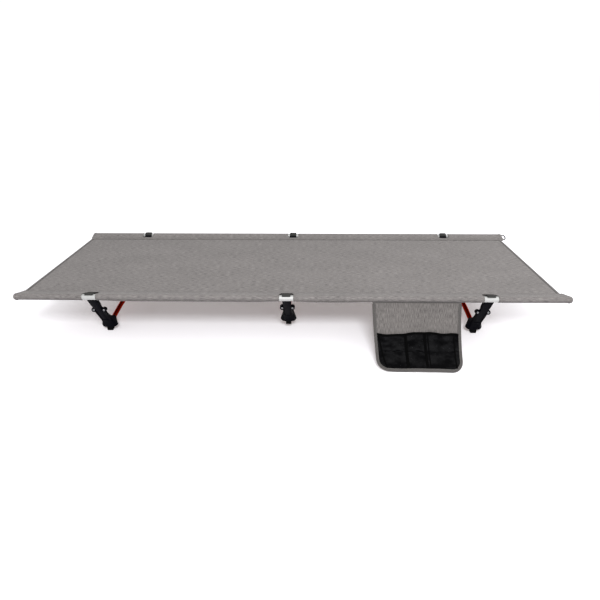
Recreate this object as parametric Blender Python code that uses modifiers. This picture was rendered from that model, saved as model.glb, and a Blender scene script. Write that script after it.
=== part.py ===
"""Folding camp bed: a cloth panel between two tube rails, carried by three bowed leg sets.

Metres, +Z up. The world origin is on the floor, under the middle of the whole bed with its flap.
The bed's own frame has its origin midway between the rails, at the height of their axes:
X runs along the bed, and the near side, with the pocket flap, is at -Y.
A leg's frame has its origin on the rail axis: Y points inward under the bed, Z up.
"""

import math

import bmesh
import bpy
from mathutils import Matrix, Vector

# Overall sizes
BED_LENGTH = 1.900
RAIL_SPACING = 0.6525
LEG_INSET = 0.263
CENTRE_LEG_SHIFT = -0.0065
CENTRE_LEAN = math.radians(9.0)

# Rail tubes, the gap that touching pieces keep, and how far a cutter runs past what it cuts
RAIL_R = 0.0100
RAIL_WALL = 0.0012
SECTIONS = 3
FERRULE_WALL = 0.0010
FERRULE_LENGTH = 0.080
CAP_PLUG = 0.018
CAP_DOME = 0.0035
CORD_R = 0.0015
GAP = 0.0003
MARGIN = 0.0005
PAST = 0.010
WELD = 0.000002

# Cloth
CLOTH = 0.0009
PANEL = 0.0012
PANEL_DROP = 0.0020
SEAM_REACH = 0.050
SEAM_WIDTH = 0.008
WINDOW_LENGTH = 0.048
WINDOW_REACH = 0.033
WINDOW_LOW_REACH = 0.028
HEM_WIDTH = 0.011
HEM_THICKNESS = 0.0026
END_INSET = 0.0120
CORNER_REACH = 0.0240

# Levers: along is measured down the lever from the rail axis, across is inward, square to it
LEVER_ANGLE = math.radians(30.8)
LEVER_REACH = 0.1525
LEVER_FRONT = 0.0030
LEVER_BACK = 0.0110
LEVER_TIP_BACK = 0.0080
LEVER_TOP_WIDTH = 0.0300
LEVER_AXLE_WIDTH = 0.0240
LEVER_TIP_WIDTH = 0.0190
LEVER_CORNER = 0.0040
LEVER_NARROWS = 0.0520
AXLE_FLANK = 0.0050
CLAW_WALL = 0.0050
CLAW_SHOULDER = 0.0370
CLAW_TIP_WIDTH = 0.0200
CLAW_ROOT_WIDTH = 0.0290
KNOB_REACH = 0.0870
KNOB_ACROSS = 0.0030
AXLE_R = 0.0030
STEM_R = 0.0026

# Hubs: places are measured from the axle, in the leg's frame
CHEEK = 0.0036
BOSS_R = 0.0084
BOSS_SPAN = 0.0536
BOSS_DEPTH = 0.0130
BUTTON_R = 0.0043
BUTTON_SEAT = 0.0030
BUTTON_DOME = 0.0016
RUNNING_GAP = 0.0005
HUB_DROP = 0.1148
FOOT_HEIGHT = 0.0145
FOOT_INSET = 0.0530
FOOT_WIDTH = 0.0204
FOOT_DEPTH = 0.0170
FOOT_HEEL = 0.0090
SOLE_EDGE = 0.0015
STUD_R = 0.0030
STUD_HEIGHT = 0.0070
STUD_OUTWARD = 0.0045
WING_WIDTH = 0.0600
WING_ABOVE_FOOT = 0.0075
WING_INSET = 0.0535
WING_DEPTH = 0.0050
WING_FLARE = 0.0160
WING_CHAMFER = 0.0030
WING_TAIL = 0.0110
SKIRT = 0.0012
TOE_FRONT = 0.0010
TOE_HEIGHT = 0.0045
SADDLE = ((0.0300, -0.0010), (0.0120, 0.0020))
RIDGE_LENGTH = 0.0120
RIDGE_DROP = 0.0050
COLLAR_LENGTH = 0.0100
COLLAR_RISE = 0.0040
SLOT_STEP = 0.0250
SLOT_DEEP = 0.0800
HUB_TOP_DROP = 0.0545
SOCKET_WALL = 0.0028
SOCKET_DEPTH = 0.0280
SOCKET_RISE = math.radians(9.5)
SOCKET_MOUTH_INSET = 0.0890

# Bow poles
BOW_R = 0.0085
BOW_WALL = 0.0010
BOW_LEAD = 0.060
BOW_STRAIGHT = 0.036
BOW_FERRULE_LENGTH = 0.060
BOW_FERRULE_WALL = 0.0010
# The ferrule's share of the bore: under 0.966, it clears the flats of a bore of 12 sides
BOW_FERRULE_FIT = 0.96

# Pocket flap: places are measured from the near rail's axis, outward and down, and it starts
# just clear of the sleeve
FLAP_FROM_X = 0.2875
FLAP_WIDTH = 0.3025
FLAP_TAPER = 0.010
FLAP_PANEL = 0.0018
FLAP_START_OUT = 0.0050
FLAP_CLEARANCE = 0.0006
FLAP_ROUTE = (
    (0.0230, 0.0520),
    (0.0560, 0.1000),
    (0.0930, 0.1400),
    (0.1290, 0.1710),
    (0.1530, 0.1866),
)
FLAP_CORNER = 0.030
BINDING_START = 0.0040
BINDING_WIDTH = 0.0100
BINDING_THICKNESS = 0.0010
NET_THICKNESS = 0.0010
NET_FROM = 0.47
TOP_TAPE = 0.0080

# Corner loop: places are measured from the far right rail end, along the rail and across it, in a
# plane that is tilted about the rail
LOOP_CORD_R = 0.0024
LOOP_SAG = 0.0085
LOOP_TILT = math.radians(62)
LOOP_ROUTE = (
    (0.0007, 0.0048),
    (0.0060, 0.0056),
    (0.0130, 0.0084),
    (0.0205, 0.0094),
    (0.0272, 0.0060),
    (0.0296, 0.0000),
    (0.0272, -0.0060),
    (0.0205, -0.0094),
    (0.0130, -0.0084),
    (0.0060, -0.0056),
    (0.0007, -0.0048),
)

# Values that follow from the sizes above
SLEEVE_R = RAIL_R + GAP + CLOTH
FLAP_START = (FLAP_START_OUT, SLEEVE_R + FLAP_CLEARANCE)
BORE_R = RAIL_R - RAIL_WALL
LEG_X = {
    "left": LEG_INSET - BED_LENGTH / 2,
    "centre": CENTRE_LEG_SHIFT,
    "right": BED_LENGTH / 2 - LEG_INSET,
}
LEANS = {"left": 0.0, "centre": CENTRE_LEAN, "right": 0.0}
LEVER_DOWN = Vector((0, math.sin(LEVER_ANGLE), -math.cos(LEVER_ANGLE)))
LEVER_IN = Vector((0, math.cos(LEVER_ANGLE), math.sin(LEVER_ANGLE)))
AXLE = LEVER_DOWN * KNOB_REACH + LEVER_IN * KNOB_ACROSS
RAIL_HEIGHT = HUB_DROP - AXLE.z
HALF_SLOT = LEVER_AXLE_WIDTH / 2 + RUNNING_GAP
SOCKET_DIRECTION = Vector((0, math.cos(SOCKET_RISE), math.sin(SOCKET_RISE)))
SOCKET_FLOOR_Z = AXLE.z - HUB_DROP + FOOT_HEIGHT + SOCKET_WALL + BOW_R + 2 * GAP
BED_SHIFT = (FLAP_ROUTE[-1][0] - SLEEVE_R) / 2

# Sides of round pieces
ROUND = 24
SMALL_ROUND = 16
PIN_ROUND = 12
CORD_ROUND = 8
BOW_SMOOTHNESS = 4


def fresh_scene():
    """An empty scene with one collection for the bed and one for its cutters."""
    for old in list(bpy.data.objects):
        bpy.data.objects.remove(old, do_unlink=True)
    made = []
    for name in ("camp_bed", "cutters"):
        collection = bpy.data.collections.new(name)
        bpy.context.scene.collection.children.link(collection)
        made.append(collection)
    return made


PARTS, CUTTERS = fresh_scene()


def material(name, colour, roughness, metallic=0.0):
    made = bpy.data.materials.new(name)
    made.use_nodes = True
    shader = made.node_tree.nodes["Principled BSDF"]
    shader.inputs["Base Color"].default_value = (*colour, 1.0)
    shader.inputs["Roughness"].default_value = roughness
    shader.inputs["Metallic"].default_value = metallic
    made.diffuse_color = (*colour, 1.0)
    return made


CLOTH_GREY = material("cloth_grey", (0.26, 0.245, 0.235), 0.9)
TAPE_GREY = material("tape_grey", (0.21, 0.20, 0.195), 0.9)
NET_BLACK = material("net_black", (0.02, 0.02, 0.022), 0.8)
TUBE_SILVER = material("tube_silver", (0.75, 0.76, 0.76), 0.3, 1.0)
POLE_RED = material("pole_red", (0.22, 0.02, 0.012), 0.35, 0.8)
NYLON_BLACK = material("nylon_black", (0.018, 0.018, 0.021), 0.5)
FOOT_BLACK = material("foot_black", (0.010, 0.010, 0.011), 0.75)
BRIGHT_STEEL = material("bright_steel", (0.80, 0.80, 0.80), 0.15, 1.0)
CORD_GREY = material("cord_grey", (0.05, 0.05, 0.055), 0.85)


def place(obj, surface, parent):
    """Puts a finished piece in the bed's collection, on its parent."""
    for holder in list(obj.users_collection):
        holder.objects.unlink(obj)
    PARTS.objects.link(obj)
    obj.parent = parent
    obj.data.materials.clear()
    obj.data.materials.append(surface)
    return obj


def hide_cutter(obj):
    for holder in list(obj.users_collection):
        holder.objects.unlink(obj)
    CUTTERS.objects.link(obj)
    obj.hide_render = True
    obj.display_type = "WIRE"
    return obj


def empty(name, at, parent=None, turn=(0, 0, 0)):
    made = bpy.data.objects.new(name, None)
    made.empty_display_size = 0.03
    PARTS.objects.link(made)
    made.location = at
    made.rotation_euler = turn
    made.parent = parent
    return made


def from_bmesh(name, bm):
    bmesh.ops.recalc_face_normals(bm, faces=bm.faces)
    mesh = bpy.data.meshes.new(name)
    bm.to_mesh(mesh)
    bm.free()
    obj = bpy.data.objects.new(name, mesh)
    PARTS.objects.link(obj)
    return obj


def box(name, low, high):
    bm = bmesh.new()
    bmesh.ops.create_cube(bm, size=1.0)
    size = Vector(high) - Vector(low)
    middle = (Vector(high) + Vector(low)) / 2
    bmesh.ops.scale(bm, vec=size, verts=bm.verts)
    bmesh.ops.translate(bm, vec=middle, verts=bm.verts)
    return from_bmesh(name, bm)


def rod(name, radius, start, end, sides=ROUND):
    """A solid cylinder between two points."""
    start, end = Vector(start), Vector(end)
    bm = bmesh.new()
    bmesh.ops.create_cone(
        bm, cap_ends=True, segments=sides, radius1=radius, radius2=radius, depth=(end - start).length
    )
    turn = (end - start).to_track_quat("Z", "Y").to_matrix().to_4x4()
    bmesh.ops.transform(bm, matrix=Matrix.Translation((start + end) / 2) @ turn, verts=bm.verts)
    return from_bmesh(name, bm)


def turned(name, profile, steps=ROUND, ring=False):
    """A Screw of (radius, height) points about X: a ring's profile closes on itself."""
    count = len(profile)
    mesh = bpy.data.meshes.new(name)
    edges = [(i, i + 1) for i in range(count - 1)]
    if ring:
        edges.append((count - 1, 0))
    mesh.from_pydata([(height, radius, 0.0) for radius, height in profile], edges, [])
    obj = bpy.data.objects.new(name, mesh)
    PARTS.objects.link(obj)
    screw = obj.modifiers.new("turn", "SCREW")
    screw.axis = "X"
    screw.steps = steps
    screw.render_steps = steps
    screw.use_merge_vertices = True
    screw.merge_threshold = 0.00001
    return baked(obj)


def baked(obj):
    """The object with its modifiers applied, its doubles welded and its faces turned outward."""
    bpy.context.view_layer.update()
    graph = bpy.context.evaluated_depsgraph_get()
    mesh = bpy.data.meshes.new_from_object(obj.evaluated_get(graph))
    bm = bmesh.new()
    bm.from_mesh(mesh)
    bmesh.ops.remove_doubles(bm, verts=bm.verts, dist=WELD)
    bmesh.ops.recalc_face_normals(bm, faces=bm.faces)
    bm.to_mesh(mesh)
    bm.free()
    name = obj.name
    world = obj.matrix_world.copy()
    bpy.data.objects.remove(obj)
    made = bpy.data.objects.new(name, mesh)
    made.matrix_world = world
    PARTS.objects.link(made)
    return made


def tube(name, outer, inner, start, end, steps=ROUND):
    """A straight tube along X."""
    return turned(name, [(outer, start), (outer, end), (inner, end), (inner, start)], steps, ring=True)


def flat_outline(name, points, low, high):
    """A flat outline of (Y, Z) points, extruded along X from low to high."""
    curve = bpy.data.curves.new(name, "CURVE")
    curve.dimensions = "2D"
    curve.fill_mode = "BOTH"
    curve.extrude = (high - low) / 2
    line = curve.splines.new("POLY")
    line.points.add(len(points) - 1)
    for point, (y, z) in zip(line.points, points):
        point.co = (y, z, 0.0, 1.0)
    line.use_cyclic_u = True
    obj = bpy.data.objects.new(name, curve)
    PARTS.objects.link(obj)
    stand_up = Matrix(((0, 0, 1, (low + high) / 2), (1, 0, 0, 0), (0, 1, 0, 0), (0, 0, 0, 1)))
    obj.matrix_world = stand_up
    made = baked(obj)
    made.data.transform(made.matrix_world)
    made.matrix_world = Matrix.Identity(4)
    return made


def swept(name, points, radius, resolution):
    """A round rod along a list of points."""
    curve = bpy.data.curves.new(name, "CURVE")
    curve.dimensions = "3D"
    curve.bevel_depth = radius
    curve.bevel_resolution = resolution
    curve.use_fill_caps = True
    line = curve.splines.new("POLY")
    line.points.add(len(points) - 1)
    for point, place_at in zip(line.points, points):
        point.co = (*place_at, 1.0)
    obj = bpy.data.objects.new(name, curve)
    PARTS.objects.link(obj)
    return baked(obj)


def arc(centre, radius, start, end, count):
    """Points of a round stretch, with its ends at two angles in degrees."""
    y, z = centre
    angles = [math.radians(start + (end - start) * i / count) for i in range(count + 1)]
    return [(y + radius * math.cos(a), z + radius * math.sin(a)) for a in angles]


def combine(obj, other, operation):
    """One Boolean with a helper, which is put away among the cutters."""
    hide_cutter(other)
    cut = obj.modifiers.new(operation.lower() + "_" + other.name, "BOOLEAN")
    cut.operation = operation
    cut.object = other
    cut.solver = "EXACT"


def finished(obj, surface, parent, shade=35.0):
    """Bakes the Booleans of a piece made in its own frame, then hangs it on its parent."""
    made = baked(obj)
    made.data.shade_smooth()
    made.data.set_sharp_from_angle(angle=math.radians(shade))
    return place(made, surface, parent)


def twin(obj, name, parent):
    """A copy of a finished piece on another parent, sharing its mesh."""
    made = bpy.data.objects.new(name, obj.data)
    PARTS.objects.link(made)
    made.parent = parent
    return made


def on_lever(along, across):
    """A (Y, Z) point of the leg's frame from places down and across the lever."""
    point = LEVER_DOWN * along + LEVER_IN * across
    return point.y, point.z


def lever_solid():
    """The side outline with its claw, narrowed to the front outline and bored for the axle."""
    bore = RAIL_R + GAP
    outer = bore + CLAW_WALL
    down = math.degrees(LEVER_ANGLE) - 90
    lip_turn = math.degrees(math.asin(LEVER_FRONT / bore))
    side = arc((0, 0), outer, down + 180, down + 90, 10)
    side.append(on_lever(CLAW_SHOULDER, LEVER_BACK))
    side.append(on_lever(LEVER_REACH - LEVER_CORNER, LEVER_TIP_BACK))
    side.append(on_lever(LEVER_REACH, LEVER_TIP_BACK - LEVER_CORNER))
    side.append(on_lever(LEVER_REACH, -LEVER_FRONT + LEVER_CORNER))
    side.append(on_lever(LEVER_REACH - LEVER_CORNER, -LEVER_FRONT))
    side += arc((0, 0), bore, down - lip_turn, down + 180, 16)
    lever = flat_outline("lever", side, -LEVER_TOP_WIDTH / 2, LEVER_TOP_WIDTH / 2)
    front = [
        (-outer - MARGIN, CLAW_TIP_WIDTH / 2),
        (-bore, CLAW_ROOT_WIDTH / 2),
        (bore, LEVER_TOP_WIDTH / 2 + MARGIN),
        (LEVER_NARROWS, LEVER_TOP_WIDTH / 2 + MARGIN),
        (KNOB_REACH - BOSS_R - AXLE_FLANK, LEVER_AXLE_WIDTH / 2),
        (KNOB_REACH + BOSS_R, LEVER_AXLE_WIDTH / 2),
        (LEVER_REACH + MARGIN, LEVER_TIP_WIDTH / 2),
    ]
    combine(lever, prism("lever_front", front), "INTERSECT")
    reach = Vector((LEVER_TOP_WIDTH, 0, 0))
    hole = rod("lever_bore", AXLE_R + GAP, AXLE - reach, AXLE + reach, PIN_ROUND)
    combine(lever, hole, "DIFFERENCE")
    return lever


def prism(name, half_outline, direction=LEVER_DOWN, square=LEVER_IN, reach=0.25):
    """A prism of (along, half width) points, mirrored about X = 0 and seen along a square direction."""
    points = half_outline + [(along, -half) for along, half in reversed(half_outline)]
    bm = bmesh.new()
    low = [bm.verts.new(direction * a + Vector((w, 0, 0)) - square * reach) for a, w in points]
    face = bm.faces.new(low)
    grown = bmesh.ops.extrude_face_region(bm, geom=[face])
    verts = [v for v in grown["geom"] if isinstance(v, bmesh.types.BMVert)]
    bmesh.ops.translate(bm, vec=square * 2 * reach, verts=verts)
    return from_bmesh(name, bm)


def socket_line():
    """The mouth and the floor of the pole's socket, on the pole's axis."""
    mouth_y = AXLE.y + SOCKET_MOUTH_INSET
    floor_y = mouth_y - SOCKET_DEPTH * math.cos(SOCKET_RISE)
    floor = Vector((0, floor_y, SOCKET_FLOOR_Z))
    return floor + SOCKET_DIRECTION * SOCKET_DEPTH, floor


def hub_solid():
    """Two cheeks beside the lever, joined by a body with the pole's socket and the foot's seat."""
    mouth, floor = socket_line()
    base = AXLE.z - HUB_DROP + FOOT_HEIGHT
    foot_y = AXLE.y + FOOT_INSET
    top = AXLE.z - HUB_TOP_DROP
    up = Vector((0, -SOCKET_DIRECTION.z, SOCKET_DIRECTION.y))
    collar_top = mouth + up * (BOW_R + SOCKET_WALL)
    collar_low = mouth - up * (BOW_R + SOCKET_WALL)
    side = arc((AXLE.y, AXLE.z), BOSS_R, 205, 35, 8)
    side += [on_lever(LEVER_REACH - up_from_end, LEVER_BACK + behind) for up_from_end, behind in SADDLE]
    side += [
        (foot_y, top),
        (foot_y + RIDGE_LENGTH, top - RIDGE_DROP),
        (collar_top.y - COLLAR_LENGTH, collar_top.z + COLLAR_RISE),
        (collar_top.y, collar_top.z),
        (collar_low.y, collar_low.z),
        (foot_y + FOOT_DEPTH / 2 + FOOT_HEEL, base),
        (foot_y - FOOT_DEPTH / 2, base),
        (foot_y - FOOT_DEPTH / 2 - TOE_FRONT, base + TOE_HEIGHT),
        on_lever(LEVER_REACH + CHEEK, -LEVER_FRONT),
    ]
    half = WING_WIDTH / 2
    hub = flat_outline("hub", side, -half, half)
    wing_z = base + WING_ABOVE_FOOT
    outer_cheek = HALF_SLOT + CHEEK
    front = [
        (AXLE.z + 2 * BOSS_R, outer_cheek),
        (top, outer_cheek + MARGIN),
        (wing_z, half),
        (wing_z - WING_CHAMFER, half - WING_CHAMFER),
        (base, FOOT_WIDTH / 2 + SKIRT),
        (base - MARGIN, FOOT_WIDTH / 2 + SKIRT),
    ]
    combine(hub, prism("hub_front", front, Vector((0, 0, 1)), Vector((0, 1, 0))), "INTERSECT")
    wing_y = AXLE.y + WING_INSET
    plan = [
        (-2 * BOSS_DEPTH, outer_cheek + MARGIN),
        (wing_y - WING_FLARE, outer_cheek + MARGIN),
        (wing_y, half + MARGIN),
        (wing_y + WING_DEPTH, half + MARGIN),
        (wing_y + WING_DEPTH + WING_TAIL, BOW_R + SOCKET_WALL + COLLAR_RISE),
        (mouth.y + PAST, BOW_R + SOCKET_WALL),
    ]
    combine(hub, prism("hub_plan", plan, Vector((0, 1, 0)), Vector((0, 0, 1))), "INTERSECT")
    for sign in (-1, 1):
        boss_x = sign * (BOSS_SPAN / 2 - BOSS_R)
        front_face = Vector((boss_x, AXLE.y - BOSS_DEPTH / 2, AXLE.z))
        back_face = Vector((boss_x, AXLE.y + BOSS_DEPTH / 2, AXLE.z))
        combine(hub, rod(f"hub_boss_{sign}", BOSS_R, front_face, back_face, SMALL_ROUND), "UNION")
        seat = front_face + Vector((0, BUTTON_SEAT + GAP, 0))
        above = front_face - Vector((0, PAST, 0))
        button_path = rod(f"hub_button_seat_{sign}", BUTTON_R + GAP, above, seat, SMALL_ROUND)
        combine(hub, button_path, "DIFFERENCE")
    deep = KNOB_REACH + SLOT_STEP
    combine(hub, lever_box("hub_slot_top", 0.0, deep, SLOT_DEEP), "DIFFERENCE")
    clear = LEVER_BACK + RUNNING_GAP
    combine(hub, lever_box("hub_slot_end", deep - PAST, LEVER_REACH + 2 * RUNNING_GAP, clear), "DIFFERENCE")
    pole = rod("hub_socket", BOW_R + GAP, floor, mouth + SOCKET_DIRECTION * 2 * PAST, SMALL_ROUND)
    combine(hub, pole, "DIFFERENCE")
    pin = axle_pin(GAP)
    pin.name = "hub_pin_path"
    combine(hub, pin, "DIFFERENCE")
    seat = Vector((0, foot_y - STUD_OUTWARD, base))
    depth = Vector((0, 0, STUD_HEIGHT + 2 * GAP))
    below = Vector((0, 0, PAST))
    combine(hub, rod("hub_stud_seat", STUD_R + GAP, seat - below, seat + depth, PIN_ROUND), "DIFFERENCE")
    return hub


def axle_pin(growth):
    """The straight pin through both cheeks, with stems that run forward to its two buttons."""
    reach = BOSS_SPAN / 2 - BOSS_R
    side = Vector((reach + AXLE_R + growth, 0, 0))
    pin = rod("axle", AXLE_R + growth, AXLE - side, AXLE + side, PIN_ROUND)
    for sign in (-1, 1):
        stem = AXLE + Vector((sign * reach, 0, 0))
        front = stem - Vector((0, BOSS_DEPTH / 2 - BUTTON_SEAT / 2, 0))
        combine(pin, rod(f"axle_stem_{sign}", STEM_R + growth, stem, front, PIN_ROUND), "UNION")
    return baked(pin)


def lever_box(name, start, end, back):
    """The lever's path through the hub: a block in the lever's slant, open on the outer side."""
    bm = bmesh.new()
    bmesh.ops.create_cube(bm, size=1.0)
    front = -SLOT_DEEP
    bmesh.ops.scale(bm, vec=(2 * HALF_SLOT, back - front, end - start), verts=bm.verts)
    bmesh.ops.translate(bm, vec=(0, (back + front) / 2, -(start + end) / 2), verts=bm.verts)
    bmesh.ops.rotate(bm, matrix=Matrix.Rotation(LEVER_ANGLE, 3, "X"), verts=bm.verts)
    return from_bmesh(name, bm)


def domed(radius, base, rise):
    """(radius, height) points from a dome's rim to near its crown."""
    turns = [math.radians(a) for a in (0, 30, 60)]
    return [(radius * math.cos(a), base + rise * math.sin(a)) for a in turns]


def axle_solid():
    """The pin with a bright domed button set in the front of each boss."""
    pin = axle_pin(0.0)
    for sign in (-1, 1):
        front_y = AXLE.y - BOSS_DEPTH / 2
        dome = domed(BUTTON_R, 0.0, BUTTON_DOME)
        profile = [(0.0, -BUTTON_SEAT), (BUTTON_R, -BUTTON_SEAT)] + dome + [(0.0, BUTTON_DOME)]
        button = turned(f"axle_button_{sign}", profile, SMALL_ROUND)
        button.data.transform(Matrix.Rotation(math.radians(-90), 4, "Z"))
        button.data.transform(Matrix.Translation((sign * (BOSS_SPAN / 2 - BOSS_R), front_y, AXLE.z)))
        combine(pin, button, "UNION")
    return pin


def foot_solid():
    """A block with a flat sole and a sloped heel, on a stud that presses into the hub."""
    foot_y = AXLE.y + FOOT_INSET
    sole = AXLE.z - HUB_DROP
    top = sole + FOOT_HEIGHT - GAP
    front, back = foot_y - FOOT_DEPTH / 2, foot_y + FOOT_DEPTH / 2
    side = [
        (front + SOLE_EDGE, sole),
        (back - SOLE_EDGE, sole),
        (back, sole + SOLE_EDGE),
        (back + FOOT_HEEL, top),
        (front, top),
        (front, sole + SOLE_EDGE),
    ]
    foot = flat_outline("foot", side, -FOOT_WIDTH / 2, FOOT_WIDTH / 2)
    root = Vector((0, foot_y - STUD_OUTWARD, sole + FOOT_HEIGHT / 2))
    tip = root + Vector((0, 0, FOOT_HEIGHT / 2 + STUD_HEIGHT))
    stud = rod("foot_stud", STUD_R, root, tip, PIN_ROUND)
    combine(foot, stud, "UNION")
    return foot


def bow_route(lean):
    """The pole's axis in the leg's frame, from the socket to the bed's middle: straight, arc, straight."""
    mouth, floor = socket_line()
    turn = Matrix.Rotation(lean, 3, "X")
    start = turn @ (floor + SOCKET_DIRECTION * GAP)
    leave = turn @ (mouth + SOCKET_DIRECTION * BOW_LEAD)
    slope = SOCKET_RISE + lean
    flat_y = RAIL_SPACING / 2 - BOW_STRAIGHT
    radius = (flat_y - leave.y) / math.sin(slope)
    points = [start, leave]
    steps = 8
    for i in range(1, steps + 1):
        angle = slope * (1 - i / steps)
        y = leave.y + radius * (math.sin(slope) - math.sin(angle))
        z = leave.z + radius * (math.cos(angle) - math.cos(slope))
        points.append(Vector((0, y, z)))
    points.append(Vector((0, RAIL_SPACING / 2 - GAP / 2, points[-1].z)))
    return points


def bow_solid(name, lean):
    """A hollow pole half along its route."""
    route = bow_route(lean)
    pole = swept(name, route, BOW_R, BOW_SMOOTHNESS)
    start = route[0] - (route[1] - route[0]).normalized() * PAST
    end = route[-1] + Vector((0, PAST, 0))
    inner = swept(name + "_bore", [start] + route[1:-1] + [end], BOW_R - BOW_WALL, BOW_SMOOTHNESS)
    combine(pole, inner, "DIFFERENCE")
    return pole


def bow_ferrule(name, lean, parent):
    """The short tube inside the bow's middle, fixed in the near half."""
    end = bow_route(lean)[-1]
    half = BOW_FERRULE_LENGTH / 2
    outer = (BOW_R - BOW_WALL) * BOW_FERRULE_FIT
    ferrule = tube(name, outer, outer - BOW_FERRULE_WALL, -half, half, SMALL_ROUND)
    ferrule.data.transform(Matrix.Rotation(math.radians(90), 4, "Z"))
    ferrule.data.transform(Matrix.Translation((0, RAIL_SPACING / 2, end.z)))
    return finished(ferrule, TUBE_SILVER, parent)


def build_legs(bed):
    """Six half legs that share their meshes, on empties at the rail axes and the axles."""
    half = RAIL_SPACING / 2
    shared = {}
    for set_name, x in LEG_X.items():
        lean = LEANS[set_name]
        for side, y, facing in (("near", -half, 0.0), ("far", half, math.pi)):
            tag = f"{side}_{set_name}"
            rail = empty(f"{tag}_rail_axis", (x, y, 0), bed, (0, 0, facing))
            leaning = empty(f"{tag}_lever_pivot", (0, 0, 0), rail, (lean, 0, 0))
            pivot = empty(f"{tag}_hub_pivot", AXLE, leaning)
            makers = (
                ("lever", lever_solid, NYLON_BLACK, leaning),
                ("hub", hub_solid, NYLON_BLACK, pivot),
                ("axle", axle_solid, BRIGHT_STEEL, pivot),
                ("foot", foot_solid, FOOT_BLACK, pivot),
            )
            for part, maker, surface, parent in makers:
                name = f"{tag}_{part}"
                if part in shared:
                    twin(shared[part], name, parent)
                    continue
                obj = baked(maker())
                if parent is pivot:
                    obj.data.transform(Matrix.Translation(-AXLE))
                obj.name = name
                shared[part] = finished(obj, surface, parent)
            bow = "bow_leaning" if lean else "bow"
            if bow in shared:
                twin(shared[bow], f"{tag}_bow", rail)
            else:
                shared[bow] = finished(bow_solid(f"{tag}_bow", lean), POLE_RED, rail)
            if side == "near":
                bow_ferrule(f"{set_name}_bow_ferrule", lean, rail)


def teardrop(radius, apex):
    """Outline round the rail that narrows inward to its seam, from the seam's top round to its underside."""
    apex_y, apex_z, half = apex
    reach = math.hypot(apex_y, apex_z)
    touch = math.degrees(math.acos(radius / reach))
    tilt = math.degrees(math.atan2(apex_z, apex_y))
    rounded = arc((0, 0), radius, tilt + touch, tilt + 360 - touch, 20)
    return [(apex_y, apex_z + half)] + rounded + [(apex_y, apex_z - half)]


def build_sleeve(name, rail, along):
    """A closed sock of cloth round the rail, with a window for each lever. Its frame's X is along times X.

    Its inner corners are cut back to the panel's short ends, so only the rail's stub stands out.
    """
    seam = (SEAM_REACH, -PANEL_DROP, CLOTH)
    outside = flat_outline(name, teardrop(SLEEVE_R, seam), -BED_LENGTH / 2, BED_LENGTH / 2)
    inner_seam = (SEAM_REACH - SEAM_WIDTH, -PANEL_DROP, CLOTH / 2)
    end = BED_LENGTH / 2 - CLOTH
    inside = flat_outline(name + "_inside", teardrop(RAIL_R + GAP, inner_seam), -end, end)
    combine(outside, inside, "DIFFERENCE")
    for set_name, x in LEG_X.items():
        west, east = along * x - WINDOW_LENGTH / 2, along * x + WINDOW_LENGTH / 2
        layers = (
            ("top", WINDOW_REACH, -PANEL_DROP, 2 * SLEEVE_R),
            ("low", WINDOW_LOW_REACH, -2 * SLEEVE_R, 0.0),
        )
        for layer, reach, low, high in layers:
            cutter = box(f"{name}_window_{set_name}_{layer}", (west, -2 * SLEEVE_R, low), (east, reach, high))
            combine(outside, cutter, "DIFFERENCE")
    for sign in (-1, 1):
        inner, outer = sign * (BED_LENGTH / 2 - END_INSET), sign * (BED_LENGTH / 2 + MARGIN)
        low = (min(inner, outer), CORNER_REACH, -SLEEVE_R)
        high = (max(inner, outer), SEAM_REACH + MARGIN, SLEEVE_R)
        combine(outside, box(f"{name}_corner_{sign}", low, high), "DIFFERENCE")
    return finished(outside, CLOTH_GREY, rail)


def build_rail(side, rail, along):
    """Three tube sections on ferrules, with a plug in each end and the shock cord through them."""
    end = BED_LENGTH / 2 - CLOTH - 2 * GAP
    tube_end = end - CAP_DOME
    length = 2 * tube_end / SECTIONS
    for i in range(SECTIONS):
        middle = along * (i - (SECTIONS - 1) / 2) * length
        low, high = middle - (length - GAP) / 2, middle + (length - GAP) / 2
        finished(tube(f"{side}_rail_{i + 1}", RAIL_R, BORE_R, low, high), TUBE_SILVER, rail)
    outer = BORE_R - GAP
    for i in range(1, SECTIONS):
        middle = along * (i - SECTIONS / 2) * length
        low, high = middle - FERRULE_LENGTH / 2, middle + FERRULE_LENGTH / 2
        ferrule = tube(f"{side}_rail_ferrule_{i}", outer, outer - FERRULE_WALL, low, high, SMALL_ROUND)
        finished(ferrule, TUBE_SILVER, rail)
    face = tube_end + GAP
    for sign, end_name in ((-along, "left"), (along, "right")):
        profile = [(0.0, face - CAP_PLUG), (outer, face - CAP_PLUG), (outer, face)]
        profile += domed(RAIL_R, face, end - face) + [(0.0, end)]
        cap = turned(f"{side}_{end_name}_end_cap", [(r, sign * h) for r, h in profile], SMALL_ROUND)
        finished(cap, NYLON_BLACK, rail)
    inner_end = face - CAP_PLUG - GAP
    cord = rod(f"{side}_shock_cord", CORD_R, (-inner_end, 0, 0), (inner_end, 0, 0), CORD_ROUND)
    finished(cord, CORD_GREY, rail)


def build_panel(bed):
    """The stretched panel with a tape round each short end."""
    edge = RAIL_SPACING / 2 - SEAM_REACH - GAP
    panel_end = BED_LENGTH / 2 - END_INSET
    end = panel_end - HEM_WIDTH - GAP
    low = (-end, -edge, -PANEL_DROP - PANEL / 2)
    high = (end, edge, -PANEL_DROP + PANEL / 2)
    finished(box("main_panel", low, high), CLOTH_GREY, bed)
    for sign, name in ((-1, "left_hem"), (1, "right_hem")):
        outer = sign * panel_end
        inner = outer - sign * HEM_WIDTH
        low = (min(outer, inner), -edge, -PANEL_DROP - HEM_THICKNESS / 2)
        high = (max(outer, inner), edge, -PANEL_DROP + HEM_THICKNESS / 2)
        finished(box(name, low, high), TAPE_GREY, bed)


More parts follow.
